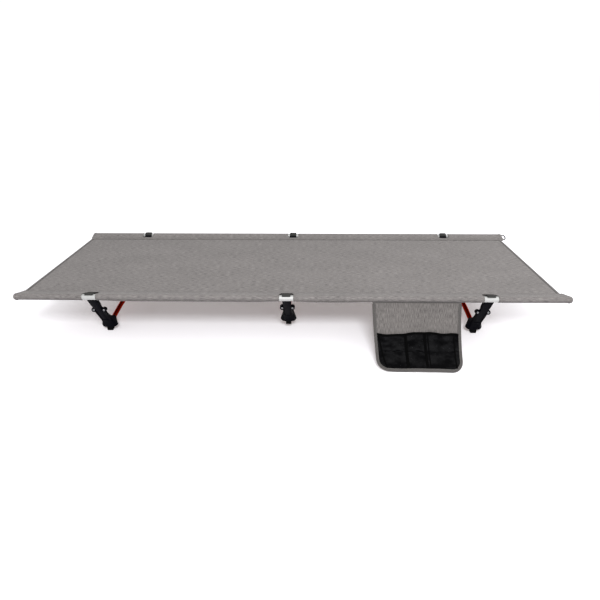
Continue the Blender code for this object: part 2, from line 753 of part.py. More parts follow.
def smooth_route(points, count):
    """Evenly spaced points of a Catmull-Rom curve through a few chosen ones."""
    ends = [points[0] * 2 - points[1]] + points + [points[-1] * 2 - points[-2]]
    fine = []
    for a, b, c, d in zip(ends, ends[1:], ends[2:], ends[3:]):
        for i in range(20):
            t = i / 20
            square = 2 * a - 5 * b + 4 * c - d
            cube = 3 * b - a - 3 * c + d
            fine.append(0.5 * (2 * b + (c - a) * t + square * t**2 + cube * t**3))
    fine.append(points[-1])
    gone = [0.0]
    for a, b in zip(fine, fine[1:]):
        gone.append(gone[-1] + (b - a).length)
    even = []
    for i in range(count + 1):
        want = gone[-1] * i / count
        k = max(j for j in range(len(gone)) if gone[j] <= want + 1e-9)
        k = min(k, len(fine) - 2)
        share = (want - gone[k]) / (gone[k + 1] - gone[k])
        even.append(fine[k].lerp(fine[k + 1], share))
    return even, gone[-1]


def flap_line():
    """The flap's route as even points, its length, and a point with its outward normal at any length."""
    steps = 60
    chosen = [Vector((0, -out, -down)) for out, down in (FLAP_START,) + FLAP_ROUTE]
    route, length = smooth_route(chosen, steps)

    def point_at(gone):
        share = min(max(gone / length, 0.0), 1.0) * steps
        k = min(int(share), steps - 1)
        along = (route[k + 1] - route[k]).normalized()
        return route[k].lerp(route[k + 1], share - k), Vector((0, along.z, -along.y))

    return point_at, length


def flap_edge(gone, length, inset):
    """Half the flap's width at a length down it, drawn in along a taper and a rounded corner."""
    left = max(length - inset - gone, 0.0)
    corner = FLAP_CORNER - inset
    cut = corner - math.sqrt(max(corner**2 - (corner - left) ** 2, 0.0)) if left < corner else 0.0
    return FLAP_WIDTH / 2 - FLAP_TAPER * gone / length - inset - cut


def flap_lengths(start, end, inset, rows):
    """Lengths down the flap, closer together through the rounded corner."""
    corner = FLAP_CORNER - inset
    bend = max(end - corner, start)
    straight = [start + (bend - start) * i / rows for i in range(rows)]
    rounded = [bend + (end - bend) * math.sin(math.radians(90 * i / 7)) for i in range(8)]
    return straight + rounded


def flap_solid(name, rows_of_x, lengths, low, thickness):
    """A sheet on the flap: a row of X places at each length down it, a height above its middle."""
    point_at, _ = flap_line()
    bm = bmesh.new()
    grid = []
    for gone, places in zip(lengths, rows_of_x):
        point, outward = point_at(gone)
        middle = point + outward * (low + thickness / 2)
        grid.append([bm.verts.new(middle + Vector((x, 0, 0))) for x in places])
    for upper, lower in zip(grid, grid[1:]):
        for a, b, c, d in zip(upper, upper[1:], lower[1:], lower):
            bm.faces.new((a, b, c, d))
    sheet = from_bmesh(name, bm)
    solid = sheet.modifiers.new("cloth", "SOLIDIFY")
    solid.thickness = thickness
    solid.offset = 0.0
    return baked(sheet)


def spread(half, columns):
    return [half * (2 * c / columns - 1) for c in range(columns + 1)]


def build_flap(bed):
    """The panel, the tape round its free edges, and the net pocket with its own top tape."""
    _, length = flap_line()
    hinge = Vector((0, -FLAP_START[0], -FLAP_START[1]))
    rail_at = Vector((FLAP_FROM_X + FLAP_WIDTH / 2, -RAIL_SPACING / 2, 0))
    pivot = empty("flap_hinge", rail_at + hinge, bed)
    face = FLAP_PANEL / 2 + GAP
    lengths = flap_lengths(0.0, length, 0.0, 8)
    panel_rows = [spread(flap_edge(s, length, 0.0), 6) for s in lengths]
    pieces = [(flap_solid("flap_panel", panel_rows, lengths, -FLAP_PANEL / 2, FLAP_PANEL), CLOTH_GREY)]
    pieces.append((flap_border(length, face), TAPE_GREY))
    net_start = length * NET_FROM
    inset = BINDING_WIDTH + GAP
    lengths = flap_lengths(net_start + TOP_TAPE + GAP, length - inset, inset, 5)
    net_rows = [spread(flap_edge(s, length, inset), 6) for s in lengths]
    pieces.append((flap_solid("pocket_net", net_rows, lengths, face, NET_THICKNESS), NET_BLACK))
    lengths = [net_start, net_start + TOP_TAPE]
    tape_rows = [spread(flap_edge(s, length, inset), 6) for s in lengths]
    pieces.append((flap_solid("pocket_top_tape", tape_rows, lengths, face, NET_THICKNESS), NET_BLACK))
    for obj, surface in pieces:
        obj.data.transform(Matrix.Translation(-hinge))
        finished(obj, surface, pivot)


def flap_border(length, low):
    """The binding: a band of one width round the flap's two sides and foot."""
    point_at, _ = flap_line()
    outer = flap_lengths(BINDING_START, length, 0.0, 8)
    bm = bmesh.new()
    rims = []
    for inset in (0.0, BINDING_WIDTH):
        scale = (length - inset) / length
        gone = [s * scale for s in outer]
        half = [flap_edge(s, length, inset) for s in gone]
        rim = [(-h, s) for h, s in zip(half, gone)]
        rim += [(half[-1] * (2 * i / 8 - 1), gone[-1]) for i in range(1, 8)]
        rim += [(h, s) for h, s in zip(reversed(half), reversed(gone))]
        rims.append(rim)
    loops = []
    for rim in rims:
        loop = []
        for x, s in rim:
            point, outward = point_at(s)
            loop.append(bm.verts.new(point + outward * (low + BINDING_THICKNESS / 2) + Vector((x, 0, 0))))
        loops.append(loop)
    outside, inside = loops
    for a, b, c, d in zip(outside, outside[1:], inside[1:], inside):
        bm.faces.new((a, b, c, d))
    band = from_bmesh("flap_binding", bm)
    solid = band.modifiers.new("tape", "SOLIDIFY")
    solid.thickness = BINDING_THICKNESS
    solid.offset = 0.0
    return baked(band)


def build_loop(bed):
    """The cord loop that stands out of the far rail's right end."""
    corner = Vector((BED_LENGTH / 2, RAIL_SPACING / 2, 0))
    reach = max(along for along, _ in LOOP_ROUTE)
    sags = [-LOOP_SAG * (along / reach) ** 2 for along, _ in LOOP_ROUTE]
    chosen = [
        corner + Vector((along, out * math.cos(LOOP_TILT), out * math.sin(LOOP_TILT) + sag))
        for (along, out), sag in zip(LOOP_ROUTE, sags)
    ]
    route, _ = smooth_route(chosen, 24)
    finished(swept("corner_loop", route, LOOP_CORD_R, 2), CORD_GREY, bed)


def main():
    bed = empty("bed_centre", (0, BED_SHIFT, RAIL_HEIGHT))
    build_panel(bed)
    for side, facing in (("near", 0.0), ("far", math.pi)):
        along = 1 if side == "near" else -1
        rail = empty(f"{side}_rail_axis", (0, -along * RAIL_SPACING / 2, 0), bed, (0, 0, facing))
        build_rail(side, rail, along)
        build_sleeve(f"{side}_sleeve", rail, along)
    build_legs(bed)
    build_flap(bed)
    build_loop(bed)
    bpy.context.view_layer.update()


main()
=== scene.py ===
"""Camp bed: a cloth panel between two tube rails, on three bowed leg sets, with a pocket flap."""

import math

import bpy
import numpy as np
from mathutils import Matrix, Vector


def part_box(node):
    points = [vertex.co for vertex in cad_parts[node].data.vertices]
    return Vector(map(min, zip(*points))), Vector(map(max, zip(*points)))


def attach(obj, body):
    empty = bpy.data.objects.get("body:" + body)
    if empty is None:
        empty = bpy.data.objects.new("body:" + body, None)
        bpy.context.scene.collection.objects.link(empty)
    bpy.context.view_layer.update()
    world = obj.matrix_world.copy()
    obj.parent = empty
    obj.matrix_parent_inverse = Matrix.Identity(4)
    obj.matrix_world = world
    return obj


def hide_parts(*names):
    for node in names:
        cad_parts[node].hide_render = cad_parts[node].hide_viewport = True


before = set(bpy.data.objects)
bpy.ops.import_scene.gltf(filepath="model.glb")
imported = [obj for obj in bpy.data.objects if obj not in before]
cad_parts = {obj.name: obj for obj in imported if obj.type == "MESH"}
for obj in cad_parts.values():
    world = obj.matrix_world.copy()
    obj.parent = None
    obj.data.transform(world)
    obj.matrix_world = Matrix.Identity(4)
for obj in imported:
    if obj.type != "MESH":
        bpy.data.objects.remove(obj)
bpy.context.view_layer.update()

# Camera: it stands in front of the near rail, a little right of the middle and under a metre up,
# and looks down at the bed at the photograph's angle.
CAMERA_PLACE = (0.07685, -1.65165, 0.88735)
CAMERA_YAW, CAMERA_PITCH, CAMERA_ROLL = -0.026004, 0.467983, -0.005479
CAMERA_LENS = 27.42


def stand(obj, place, side, back):
    """Stands a camera or lamp at a place: its own x runs along side, its z along back."""
    turn = np.eye(4)
    turn[:3] = np.stack([side, np.cross(back, side), back, place], 1)
    obj.matrix_world = Matrix(turn.tolist())
    bpy.context.scene.collection.objects.link(obj)


eye = bpy.data.cameras.new("photo_camera")
eye.sensor_fit = "HORIZONTAL"
eye.sensor_width = 36.0
eye.lens = CAMERA_LENS
camera = bpy.data.objects.new("photo_camera", eye)
level = math.cos(CAMERA_PITCH)
ahead = np.array([math.sin(CAMERA_YAW) * level, math.cos(CAMERA_YAW) * level, -math.sin(CAMERA_PITCH)])
right = np.array([math.cos(CAMERA_YAW), -math.sin(CAMERA_YAW), 0.0])
up = np.cross(right, ahead)
stand(camera, CAMERA_PLACE, math.cos(CAMERA_ROLL) * right + math.sin(CAMERA_ROLL) * up, -ahead)
bpy.context.scene.camera = camera


# Corner loop: a short bight of braided shock cord that stands out of the far rail's right end.
# Both its ends run back into the sleeve, where they are knotted behind the end plug.
LOOP_CORD_R = 0.0024
LOOP_SAG = 0.0085
LOOP_TILT = math.radians(62)
LOOP_SIDE = ((0.0007, 0.0048), (0.0060, 0.0056), (0.0130, 0.0084), (0.0205, 0.0094), (0.0272, 0.0060))
LOOP_TIP = (0.0296, 0.0000)
BRAID_PITCH = 0.0016


class Shade:
    """One output of a shader node. Each operator on it adds a Math node."""

    def __init__(self, finish, socket):
        self.finish, self.socket = finish, socket

    def math(self, operation, *values):
        return self.finish.node("Math", {"operation": operation}, dict(enumerate(values)))

    def __add__(self, other):
        return self.math("ADD", self, other)

    def __sub__(self, other):
        return self.math("SUBTRACT", self, other)

    def __rsub__(self, other):
        return self.math("SUBTRACT", other, self)

    def __mul__(self, other):
        return self.math("MULTIPLY", self, other)

    __radd__, __rmul__ = __add__, __mul__

    def waves(self, pitch):
        """A sine wave along it."""
        turned = self * (2 * math.pi / pitch)
        return turned.math("SINE", turned)

    def above(self, low, high):
        """0 below the low value, 1 above the high one, and a smooth step between them."""
        span = {"Value": self, "From Min": low, "From Max": high}
        return self.finish.node("MapRange", {"interpolation_type": "SMOOTHSTEP"}, span)


class Finish:
    """A material on a Principled shader, whose sockets take its constants.

    Its patterns lie on the piece's map in metres, or by another place's name on the piece's own axes.
    """

    def __init__(self, name, place="UV", **constants):
        self.material = bpy.data.materials.new(name)
        self.material.use_nodes = True
        self.tree = self.material.node_tree
        self.shader = self.tree.nodes["Principled BSDF"]
        self.place = self.node("TexCoord", output=place)
        self.shade(**constants)

    def feed(self, socket, value):
        if isinstance(value, Shade):
            self.tree.links.new(value.socket, socket)
        else:
            socket.default_value = value

    def shade(self, **sockets):
        """Feeds the shader's sockets, named with an underscore for each space."""
        for name, value in sockets.items():
            self.feed(self.shader.inputs[name.replace("_", " ")], value)

    def node(self, kind, settings=None, sockets=None, output=0):
        """One node of a kind: its settings first, then the values or links of its sockets."""
        made = self.tree.nodes.new("ShaderNode" + kind)
        for key, value in (settings or {}).items():
            setattr(made, key, value)
        for key, value in (sockets or {}).items():
            self.feed(made.inputs[key], value)
        return Shade(self, made.outputs[output])

    def part(self, axis, kind=None):
        """One coordinate of the material's own place, or of another kind of place."""
        place = self.node("TexCoord", output=kind) if kind else self.place
        return self.node("SeparateXYZ", None, {0: place}, axis)

    def noise(self, per_metre, detail=2.0, roughness=0.5):
        """Noise from 0 to 1, stretched by its own count per metre along each axis."""
        scaled = self.node("Mapping", None, {"Vector": self.place, "Scale": per_metre})
        sockets = {"Vector": scaled, "Scale": 1.0, "Detail": detail, "Roughness": roughness}
        return self.node("TexNoise", None, sockets)

    def colour(self):
        """What feeds the shader's colour so far."""
        return Shade(self, self.shader.inputs["Base Color"].links[0].from_socket)

    def blend(self, factor, first, second):
        """A colour between two, which may be values or links."""
        ends = {0: factor, 6: first, 7: second}
        return self.node("Mix", {"data_type": "RGBA"}, ends, 2)

    def tint(self, factor, first, second, **sockets):
        """Colours the material between two colours, and feeds other sockets of its shader."""
        self.shade(Base_Color=self.blend(factor, first, second), **sockets)

    def bump(self, height, distance, strength=1.0):
        raised = {"Height": height, "Distance": distance, "Strength": strength}
        self.shade(Normal=self.node("Bump", None, raised))


def joined(*parts):
    """Coordinates put together into points or map places. Each is an array or one number."""
    return np.stack(np.broadcast_arrays(*parts), -1)


def surface(name, points, uvs, ring=False, loop=False, capped=False, kept=None):
    """A mesh on one or more grids of points, (grids, rows, columns, 3), with equal faces.

    Each four neighbours make a face. A ring joins its last column to its first, a loop its last
    row to its first, and both have one more of them in uvs. Capped ends are closed by a face each.
    A face whose place in kept is False is left out. A closed grid is turned to face outward.
    """
    points = np.asarray(points, float)
    points = points.reshape((-1,) + points.shape[-3:])
    grids, rows, columns = points.shape[:3]
    down = rows if loop else rows - 1
    across = columns if ring else columns - 1
    r, c = np.meshgrid(np.arange(down), np.arange(across), indexing="ij")
    if kept is not None:
        r, c = r[kept], c[kept]
    r, c = r.ravel(), c.ravel()
    r2, c2 = (r + 1) % rows, (c + 1) % columns
    quads = np.stack([r * columns + c, r * columns + c2, r2 * columns + c2, r2 * columns + c], 1)
    wide = uvs.shape[1]
    places = np.stack([r * wide + c, r * wide + c + 1, (r + 1) * wide + c + 1, (r + 1) * wide + c], 1)
    corners, places, sizes = quads.ravel(), places.ravel(), np.full(len(quads), 4)
    if capped:
        first = np.arange(columns)[::-1]
        corners = np.concatenate([corners, first, first[::-1] + (rows - 1) * columns])
        places = np.concatenate([places, first, first[::-1] + (rows - 1) * wide])
        sizes = np.concatenate([sizes, [columns, columns]])
    corners = (corners + np.arange(grids)[:, None] * rows * columns).ravel()
    places = np.tile(places, grids)
    sizes = np.tile(sizes, grids)
    used, corners = np.unique(corners, return_inverse=True)
    mesh = bpy.data.meshes.new(name)
    mesh.vertices.add(len(used))
    mesh.vertices.foreach_set("co", points.reshape(-1, 3)[used].astype(np.float32).ravel())
    mesh.loops.add(len(corners))
    mesh.loops.foreach_set("vertex_index", corners.astype(np.int32))
    mesh.polygons.add(len(sizes))
    starts = np.concatenate([[0], np.cumsum(sizes)[:-1]])
    mesh.polygons.foreach_set("loop_start", starts.astype(np.int32))
    mesh.update(calc_edges=True)
    layer = mesh.uv_layers.new(name="metres")
    layer.data.foreach_set("uv", uvs.reshape(-1, 2)[places].astype(np.float32).ravel())
    mesh.shade_smooth()
    if ring and (capped or loop):
        a, b, c, d = (points[0] - points[0].mean((0, 1))).reshape(-1, 3)[quads.T]
        if (np.cross(a, b) * c).sum() + (np.cross(a, c) * d).sum() <= 0:
            mesh.flip_normals()
    obj = bpy.data.objects.new(name, mesh)
    bpy.context.scene.collection.objects.link(obj)
    return obj


def through(chosen, spans=12):
    """A smooth curve through chosen points: between two, a cubic with the slope of their neighbours."""
    chosen = np.asarray(chosen, float)
    ends = np.vstack([2 * chosen[0] - chosen[1], chosen, 2 * chosen[-1] - chosen[-2]])
    t = (np.arange(spans) / spans)[None, :, None]
    a, b, c, d = (ends[i : len(ends) - 3 + i, None] for i in range(4))
    square = 2 * a - 5 * b + 4 * c - d
    cube = 3 * b - a - 3 * c + d
    fine = 0.5 * (2 * b + (c - a) * t + square * t**2 + cube * t**3)
    return np.vstack([fine.reshape(-1, 3), chosen[-1]])


def gone_along(path):
    """How far along a path each of its points lies."""
    return np.concatenate([[0.0], np.cumsum(np.linalg.norm(np.diff(path, axis=0), axis=1))])


def carried(path, radii, sides, above):
    """Rings round a path: each point is the path's plus a radius turned round its tangent."""
    ahead = np.gradient(path, axis=0)
    ahead /= np.linalg.norm(ahead, axis=1)[:, None]
    beside = np.cross(ahead, above)
    beside /= np.linalg.norm(beside, axis=1)[:, None]
    over = np.cross(beside, ahead)
    angle = np.linspace(0, 2 * np.pi, sides, endpoint=False)[None, :, None]
    radii = np.broadcast_to(radii, len(path))[:, None, None]
    rings = path[:, None] + radii * (np.cos(angle) * beside[:, None] + np.sin(angle) * over[:, None])
    round_it = np.linspace(0, 1, sides + 1) * 2 * np.pi * radii.max()
    return rings, joined(gone_along(path)[:, None], round_it)


def coat(obj, finish):
    """Gives a piece or a CAD node its material."""
    obj.data.materials.clear()
    obj.data.materials.append(finish.material)


def dress(obj, finish, body, slot, *nodes):
    """Gives a piece its material and its body, and hides the CAD nodes it stands for; its slot is not used."""
    coat(obj, finish)
    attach(obj, body)
    if nodes:
        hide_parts(*nodes)
    return obj


def fine_shade(obj, angle=35.0):
    """Keeps an edge crisp where its faces turn by more than an angle in degrees."""
    obj.data.set_sharp_from_angle(angle=math.radians(angle))
    return obj


FAR_Y, RAIL_Z = np.array(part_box("far_rail_2")).mean(0)[1:]
BED_END = float(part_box("near_sleeve")[1][0])

braid = Finish("braided_cord", Roughness=0.85, Specular_IOR_Level=0.15, Sheen_Weight=0.03)
along_cord, round_cord = (braid.part(axis) for axis in (0, 1))
plait = (along_cord + round_cord).waves(BRAID_PITCH) * (along_cord - round_cord).waves(BRAID_PITCH)
fleck = braid.noise((900, 900, 1))
strand = plait * 0.5 + fleck * 0.5
braid.tint(strand, (0.002, 0.002, 0.0025, 1), (0.020, 0.020, 0.022, 1))
braid.bump(plait, 0.00025)

loop_side = np.array(LOOP_SIDE)
along, out = np.concatenate([loop_side, [LOOP_TIP], loop_side[::-1] * (1, -1)]).T
drop = LOOP_SAG * (along / along.max()) ** 2 - out * math.sin(LOOP_TILT)
loop_path = through(joined(BED_END + along, FAR_Y + out * math.cos(LOOP_TILT), RAIL_Z - drop), 8)
rings, uvs = carried(loop_path, LOOP_CORD_R, 12, (0, 0, 1))
corner_loop = surface("shock_cord_loop", rings, uvs, ring=True, capped=True)
dress(fine_shade(corner_loop, 60), braid, "bed", "cord_grey", "corner_loop")


# Rails: aluminium tube in three sections a side, drawn, polished and clear anodised. It shows
# bright in the sleeve's windows, where the levers clip over it.
RAIL_SIDES = 72
RAIL_WALL = 0.0012
RAIL_CHAMFER = 0.0004

bright_tube = Finish("polished_tube", Metallic=1.0)
drawn = bright_tube.noise((9, 1400, 1), 4.0)
smudge = bright_tube.noise((60, 60, 1), 3.0)
shine = drawn * 0.6 + smudge * 0.4
bright_tube.tint(
    shine, (0.37, 0.372, 0.366, 1), (0.56, 0.563, 0.554, 1),
    Roughness=0.60 + drawn * 0.12 + smudge.above(0.45, 0.8) * 0.10,
)
bright_tube.bump(drawn, 0.00002, 0.6)


def lathed(profile, base, axis, sides, toward):
    """Rings round an axis: radius and distance along it from the base, row by row."""
    side = np.cross(axis, toward)
    side /= np.linalg.norm(side)
    angle = np.linspace(0, 2 * np.pi, sides, endpoint=False)[None, :, None]
    round_it = np.cos(angle) * side + np.sin(angle) * np.cross(axis, side)
    return base + profile[:, 1, None, None] * axis + profile[:, 0, None, None] * round_it


def turned_tube(name, node, axis, wall, bevel, sides):
    """A tube in a CAD node's place, along one axis: its chamfered wall's outline, turned round it."""
    low, high = np.array(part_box(node))
    start = (low + high) / 2
    start[axis] = low[axis]
    length = high[axis] - low[axis]
    outer = (high[2] - low[2]) / 2
    inner = outer - wall
    along = np.array([0, 0, bevel, length - bevel, length, length, length - bevel, bevel])
    rim = [inner + bevel, outer - bevel, outer]
    radius = np.array([*rim, *rim[::-1], inner, inner])
    rings = lathed(joined(radius, along), start, np.eye(3)[axis], sides, (0.1, 0.2, 1.0))
    uvs = joined(np.append(along, along[0])[:, None], np.linspace(0, 2 * np.pi * outer, sides + 1))
    return fine_shade(surface(name, rings, uvs, ring=True, loop=True))


for side in ("near", "far"):
    for number in (1, 2, 3):
        node = f"{side}_rail_{number}"
        tube = turned_tube(f"{side}_rail_tube_{number}", node, 0, RAIL_WALL, RAIL_CHAMFER, RAIL_SIDES)
        dress(tube, bright_tube, "bed", "tube_silver", node)


# Inside the rails: drawn ferrules that join the sections, moulded plugs in their ends, and the
# shock cord that runs through them and keeps a folded rail together.
drawn_tube = Finish("drawn_ferrule", "Object", Metallic=1.0)
lines = drawn_tube.noise((20, 1500, 1500), 3.0)
drawn_tube.tint(lines, (0.55, 0.56, 0.57, 1), (0.80, 0.80, 0.81, 1), Roughness=0.25 + lines * 0.2)
plug_nylon = Finish("plug_nylon", "Object")
grain = plug_nylon.noise((1500, 1500, 1500), 3.0)
plug_nylon.tint(grain, (0.010, 0.010, 0.012, 1), (0.026, 0.026, 0.029, 1), Roughness=0.45 + grain * 0.25)
plug_nylon.bump(grain, 0.00005)
inner_cord = Finish("inner_cord", "Object", Roughness=0.9)
twist = inner_cord.noise((700, 300, 300), 2.0)
inner_cord.tint(twist, (0.03, 0.03, 0.032, 1), (0.12, 0.12, 0.12, 1))
for side in ("near", "far"):
    for number in (1, 2):
        coat(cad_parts[f"{side}_rail_ferrule_{number}"], drawn_tube)
    for end_name in ("left", "right"):
        coat(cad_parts[f"{side}_{end_name}_end_cap"], plug_nylon)
    coat(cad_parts[f"{side}_shock_cord"], inner_cord)


# Cloth: a heavy polyester canvas of slubby two-tone yarn, woven tight and a little glossy.
# Its thicker threads run along the bed and show as short light and dark streaks.
CLOTH_DARK, CLOTH_LIGHT = (0.008, 0.007, 0.007, 1), (0.276, 0.257, 0.250, 1)
WEAVE_PITCH = 0.0007


def woven(name, dark, light):
    """Canvas: streaked noises along and across the cloth mix two yarn colours over a plain weave."""
    made = Finish(name, Sheen_Weight=0.06, Sheen_Roughness=0.5, Specular_IOR_Level=0.15)
    slub = made.noise((56, 560, 1), 3.0)
    thin = made.noise((200, 1000, 1), 2.0)
    cross = made.noise((620, 170, 1), 2.0)
    broad = made.noise((4, 9, 1), 2.0)
    streak = slub.above(0.28, 0.72) * 0.44 + thin * 0.32 + cross * 0.24
    tone = streak + (broad - 0.5) * 0.16
    u, v = made.part(0), made.part(1)
    weave = u.waves(WEAVE_PITCH) * v.waves(WEAVE_PITCH)
    made.tint(tone + weave * 0.05, dark, light, Roughness=0.74 + streak * 0.16)
    made.bump(weave * 0.6 + slub * 0.7 + cross * 0.4, 0.00012)
    return made


canvas = woven("slub_canvas", CLOTH_DARK, CLOTH_LIGHT)
# The flap's canvas is a darker copy of the panel's: painted shade on the hanging flap
flap_canvas = woven("flap_canvas", (0.006, 0.005, 0.005, 1), (0.205, 0.190, 0.182, 1))
thread_finish = Finish("sewing_thread", "Object", Roughness=0.7)
ply = thread_finish.noise((1500, 1500, 1500), 2.0)
thread_finish.tint(ply, (0.10, 0.095, 0.09, 1), (0.24, 0.225, 0.215, 1))

# Sleeves: the panel's two long edges, folded round the rails and sewn back to the panel 50 mm in.
# A window is cut at each lever, and the sock's closed ends stand a little past the panel.
SLEEVE_R = 0.0112
CLOTH_THICKNESS = 0.0009
SEAM_REACH = 0.050
SEAM_DROP = 0.0020
PANEL_END = BED_END - 0.0080
STUB_SWELL = 0.12
STUB_DOME = 0.0110
# The sock's ends: the side, how far out the end stands, and how far inward its tip still reaches
STUBS = ((-1, BED_END + 0.0010, 0.034), (1, BED_END + 0.0085, 0.046))
WINDOW_HALF = 0.024
WINDOW_TOP_HALF = 0.0175
WINDOW_TOP_REACH = 0.0330
WINDOW_CORNER_REACH = 0.0215
WINDOW_LOW_REACH = 0.0280
WINDOW_BLEND = 0.020
WINDOW_HEM = 0.0035
SEAM_RIDGE = 0.0005
SEAM_RIDGE_RUN = 0.10
SLEEVE_HANG = 0.28
HANG_RUN = 0.09
FLAP_CLEAR = 0.01
NEAR_Y = float(np.array(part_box("near_rail_2")).mean(0)[1])
# Each side's name, its rail's place across the bed, and the way inward
SIDES = (("near", NEAR_Y, 1), ("far", FAR_Y, -1))
LEG_X = {leg: float(np.array(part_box(f"near_{leg}_lever")).mean(0)[0]) for leg in ("left", "centre", "right")}


def sleeve_section(reach, straight, turn, lift=0.0):
    """Round the rail as a teardrop, from its seam's top, over the tube and under it, to the seam's foot.

    Inward and up of each point: the two straight runs touch the tube's circle and meet at the seam.
    reach holds one value a row; straight and turn hold the shares of a run and of the arc.
    """
    reach = np.asarray(reach, float)[:, None]
    radius = SLEEVE_R + lift
    drop = SEAM_DROP * reach / SEAM_REACH
    tilt = np.arctan2(-drop, reach)
    touch = np.arccos(radius / np.hypot(reach, drop))
    start, end = tilt + touch, tilt + 2 * np.pi - touch
    arc = start + (end - start) * turn

    def run(share, side, angle):
        seam = side * (CLOTH_THICKNESS + lift) - drop
        across = reach * (1 - share) + radius * np.cos(angle) * share
        return joined(across, seam * (1 - share) + radius * np.sin(angle) * share)

    round_tube = joined(radius * np.cos(arc), radius * np.sin(arc))
    return np.concatenate([run(straight, 1, start), round_tube[:, 1:-1], run(straight[::-1], -1, end)], 1)


def run_share(inward):
    """The share of the straight run from the seam to a place at some distance inward of the rail."""
    touch_y = SLEEVE_R * math.cos(math.atan2(-SEAM_DROP, SEAM_REACH) + math.acos(SLEEVE_R / SEAM_REACH))
    return (SEAM_REACH - inward) / (SEAM_REACH - touch_y)


def warped(stations, shares, columns):
    """The places along the rail, row by column: each window's edge draws in where its corner is cut."""
    out = np.repeat(stations[:, None], columns, axis=1)
    for middle in LEG_X.values():
        off = out - middle
        half = np.interp(shares, [0, 1], [WINDOW_TOP_HALF, WINDOW_HALF])[None, :]
        past = np.clip((np.abs(off) - WINDOW_HALF) / WINDOW_BLEND, 0, 1)
        edge = half + (WINDOW_HALF + WINDOW_BLEND - half) * past
        inside = np.abs(off) * half / WINDOW_HALF
        new = np.where(np.abs(off) <= WINDOW_HALF, inside, edge)
        near = np.abs(off) <= WINDOW_HALF + WINDOW_BLEND
        out = np.where(near, middle + np.sign(off) * new, out)
    return out


def spaced(marks, step):
    """Places from the first mark to the last, each mark among them, at most a step apart."""
    marks = sorted(marks)
    runs = [
        np.linspace(a, b, max(1, math.ceil((b - a) / step - 1e-6)), endpoint=False)
        for a, b in zip(marks, marks[1:])
        if b - a > 1e-7
    ]
    return np.concatenate(runs + [[marks[-1]]])


def modified(obj, kind, **settings):
    """Adds a modifier of a kind, with its settings."""
    added = obj.modifiers.new(kind.lower(), kind)
    for key, value in settings.items():
        setattr(added, key, value)
    return obj


def thicken(obj, thickness, offset=0.0):
    """Gives a sheet its thickness, to both sides of its surface or, with an offset of -1, inward."""
    return modified(obj, "SOLIDIFY", thickness=thickness, offset=offset)


# Shares of the top run: even, with columns at the window's top edge and at its corners
TOP_MARKS = [0.0, run_share(WINDOW_TOP_REACH), run_share(WINDOW_CORNER_REACH), 1.0]
top_shares = spaced(TOP_MARKS, 0.06)
arc_shares = np.linspace(0, 1, 37)
columns = np.arange(2 * len(top_shares) + len(arc_shares) - 2)
top_column, corner_column = (int(np.argmin(np.abs(top_shares - mark))) for mark in TOP_MARKS[1:3])
low_column = columns[-1] - int(np.argmin(np.abs(top_shares - run_share(WINDOW_LOW_REACH))))
# 0 at the window's top edge, 1 from its cut corner on
cut_share = np.clip((columns - top_column) / (corner_column - top_column), 0, 1)

sleeve_marks = [-PANEL_END, PANEL_END]
for middle in LEG_X.values():
    sleeve_marks += [middle - WINDOW_HALF - WINDOW_BLEND, middle - WINDOW_HALF]
    sleeve_marks += [middle + WINDOW_HALF, middle + WINDOW_HALF + WINDOW_BLEND]
main_stations = spaced(sleeve_marks, 0.008)
stub = np.linspace(0.04, 1, 9)
dome_turn = np.linspace(0, math.pi / 2, 11)[1:]
dome_scale = (1 + STUB_SWELL) * np.cos(dome_turn) ** 0.5 * 0.97 + 0.03
end_scale = np.concatenate([1 + STUB_SWELL * stub**2, dome_scale])
ends = []
for sign, tip, tip_reach in STUBS:
    stub_x = PANEL_END + (tip - STUB_DOME - PANEL_END) * stub
    stub_reach = tip_reach + (SEAM_REACH - tip_reach) * np.sqrt(1 - stub**2)
    dome = joined(tip - STUB_DOME + STUB_DOME * np.sin(dome_turn), tip_reach)
    ends.append(np.concatenate([joined(stub_x, stub_reach), dome]) * (sign, 1))
stations, reaches = np.concatenate([ends[0][::-1], joined(main_stations, SEAM_REACH), ends[1]]).T
scales = np.concatenate([end_scale[::-1], np.ones(len(main_stations)), end_scale])

section = sleeve_section(reaches, top_shares, arc_shares)
# The folded seam allowance stands up as a low ridge along the seam
section[:, : len(top_shares), 1] += SEAM_RIDGE * np.exp(-((top_shares / SEAM_RIDGE_RUN) ** 2))
section *= scales[:, None, None]
# Under the rail the cloth hangs a little loose between the windows, but not where the flap is sewn on
flap_low, flap_high = np.array(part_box("flap_panel"))[:, 0]
leg_places = np.array(list(LEG_X.values()))
clear = (np.abs(stations[:, None] - leg_places) - WINDOW_HALF).min(1)
beside_flap = np.maximum(flap_low - FLAP_CLEAR - stations, stations - flap_high - FLAP_CLEAR)
share = np.clip(np.minimum(clear, beside_flap) / HANG_RUN, 0, 1) * (np.abs(stations) < LEG_X["right"])
hang = share**2 * (3 - 2 * share)
section[..., 1] *= np.where(section[..., 1] < 0, 1 + SLEEVE_HANG * hang[:, None], 1)
along = warped(stations, cut_share, len(columns))
girth = gone_along(sleeve_section([SEAM_REACH], top_shares, arc_shares)[0])
middles = (stations[:-1] + stations[1:]) / 2
in_window = (np.abs(middles[:, None] - leg_places) < WINDOW_HALF).any(1)
kept = ~(in_window[:, None] & (columns >= top_column) & (columns < low_column))

# The sleeve's canvas carries painted shade: darker streaks along its long tension lines, and a darker band
# where it turns under the rail
CLOTH_SHADE = (0.035, 0.032, 0.031, 1)
UNDER_FROM, UNDER_TO = RAIL_Z + 0.008, RAIL_Z - 0.009
sleeve_canvas = woven("sleeve_canvas", CLOTH_DARK, (0.298, 0.277, 0.269, 1))
tension_line_shade = 1 - sleeve_canvas.noise((9, 330, 1), 2.0).above(0.36, 0.64)
under = 1 - sleeve_canvas.part(2, "Object").above(UNDER_TO, UNDER_FROM)
painted_shade = tension_line_shade * 0.15 + under * 0.42
sleeve_canvas.tint(painted_shade, sleeve_canvas.colour(), CLOTH_SHADE)

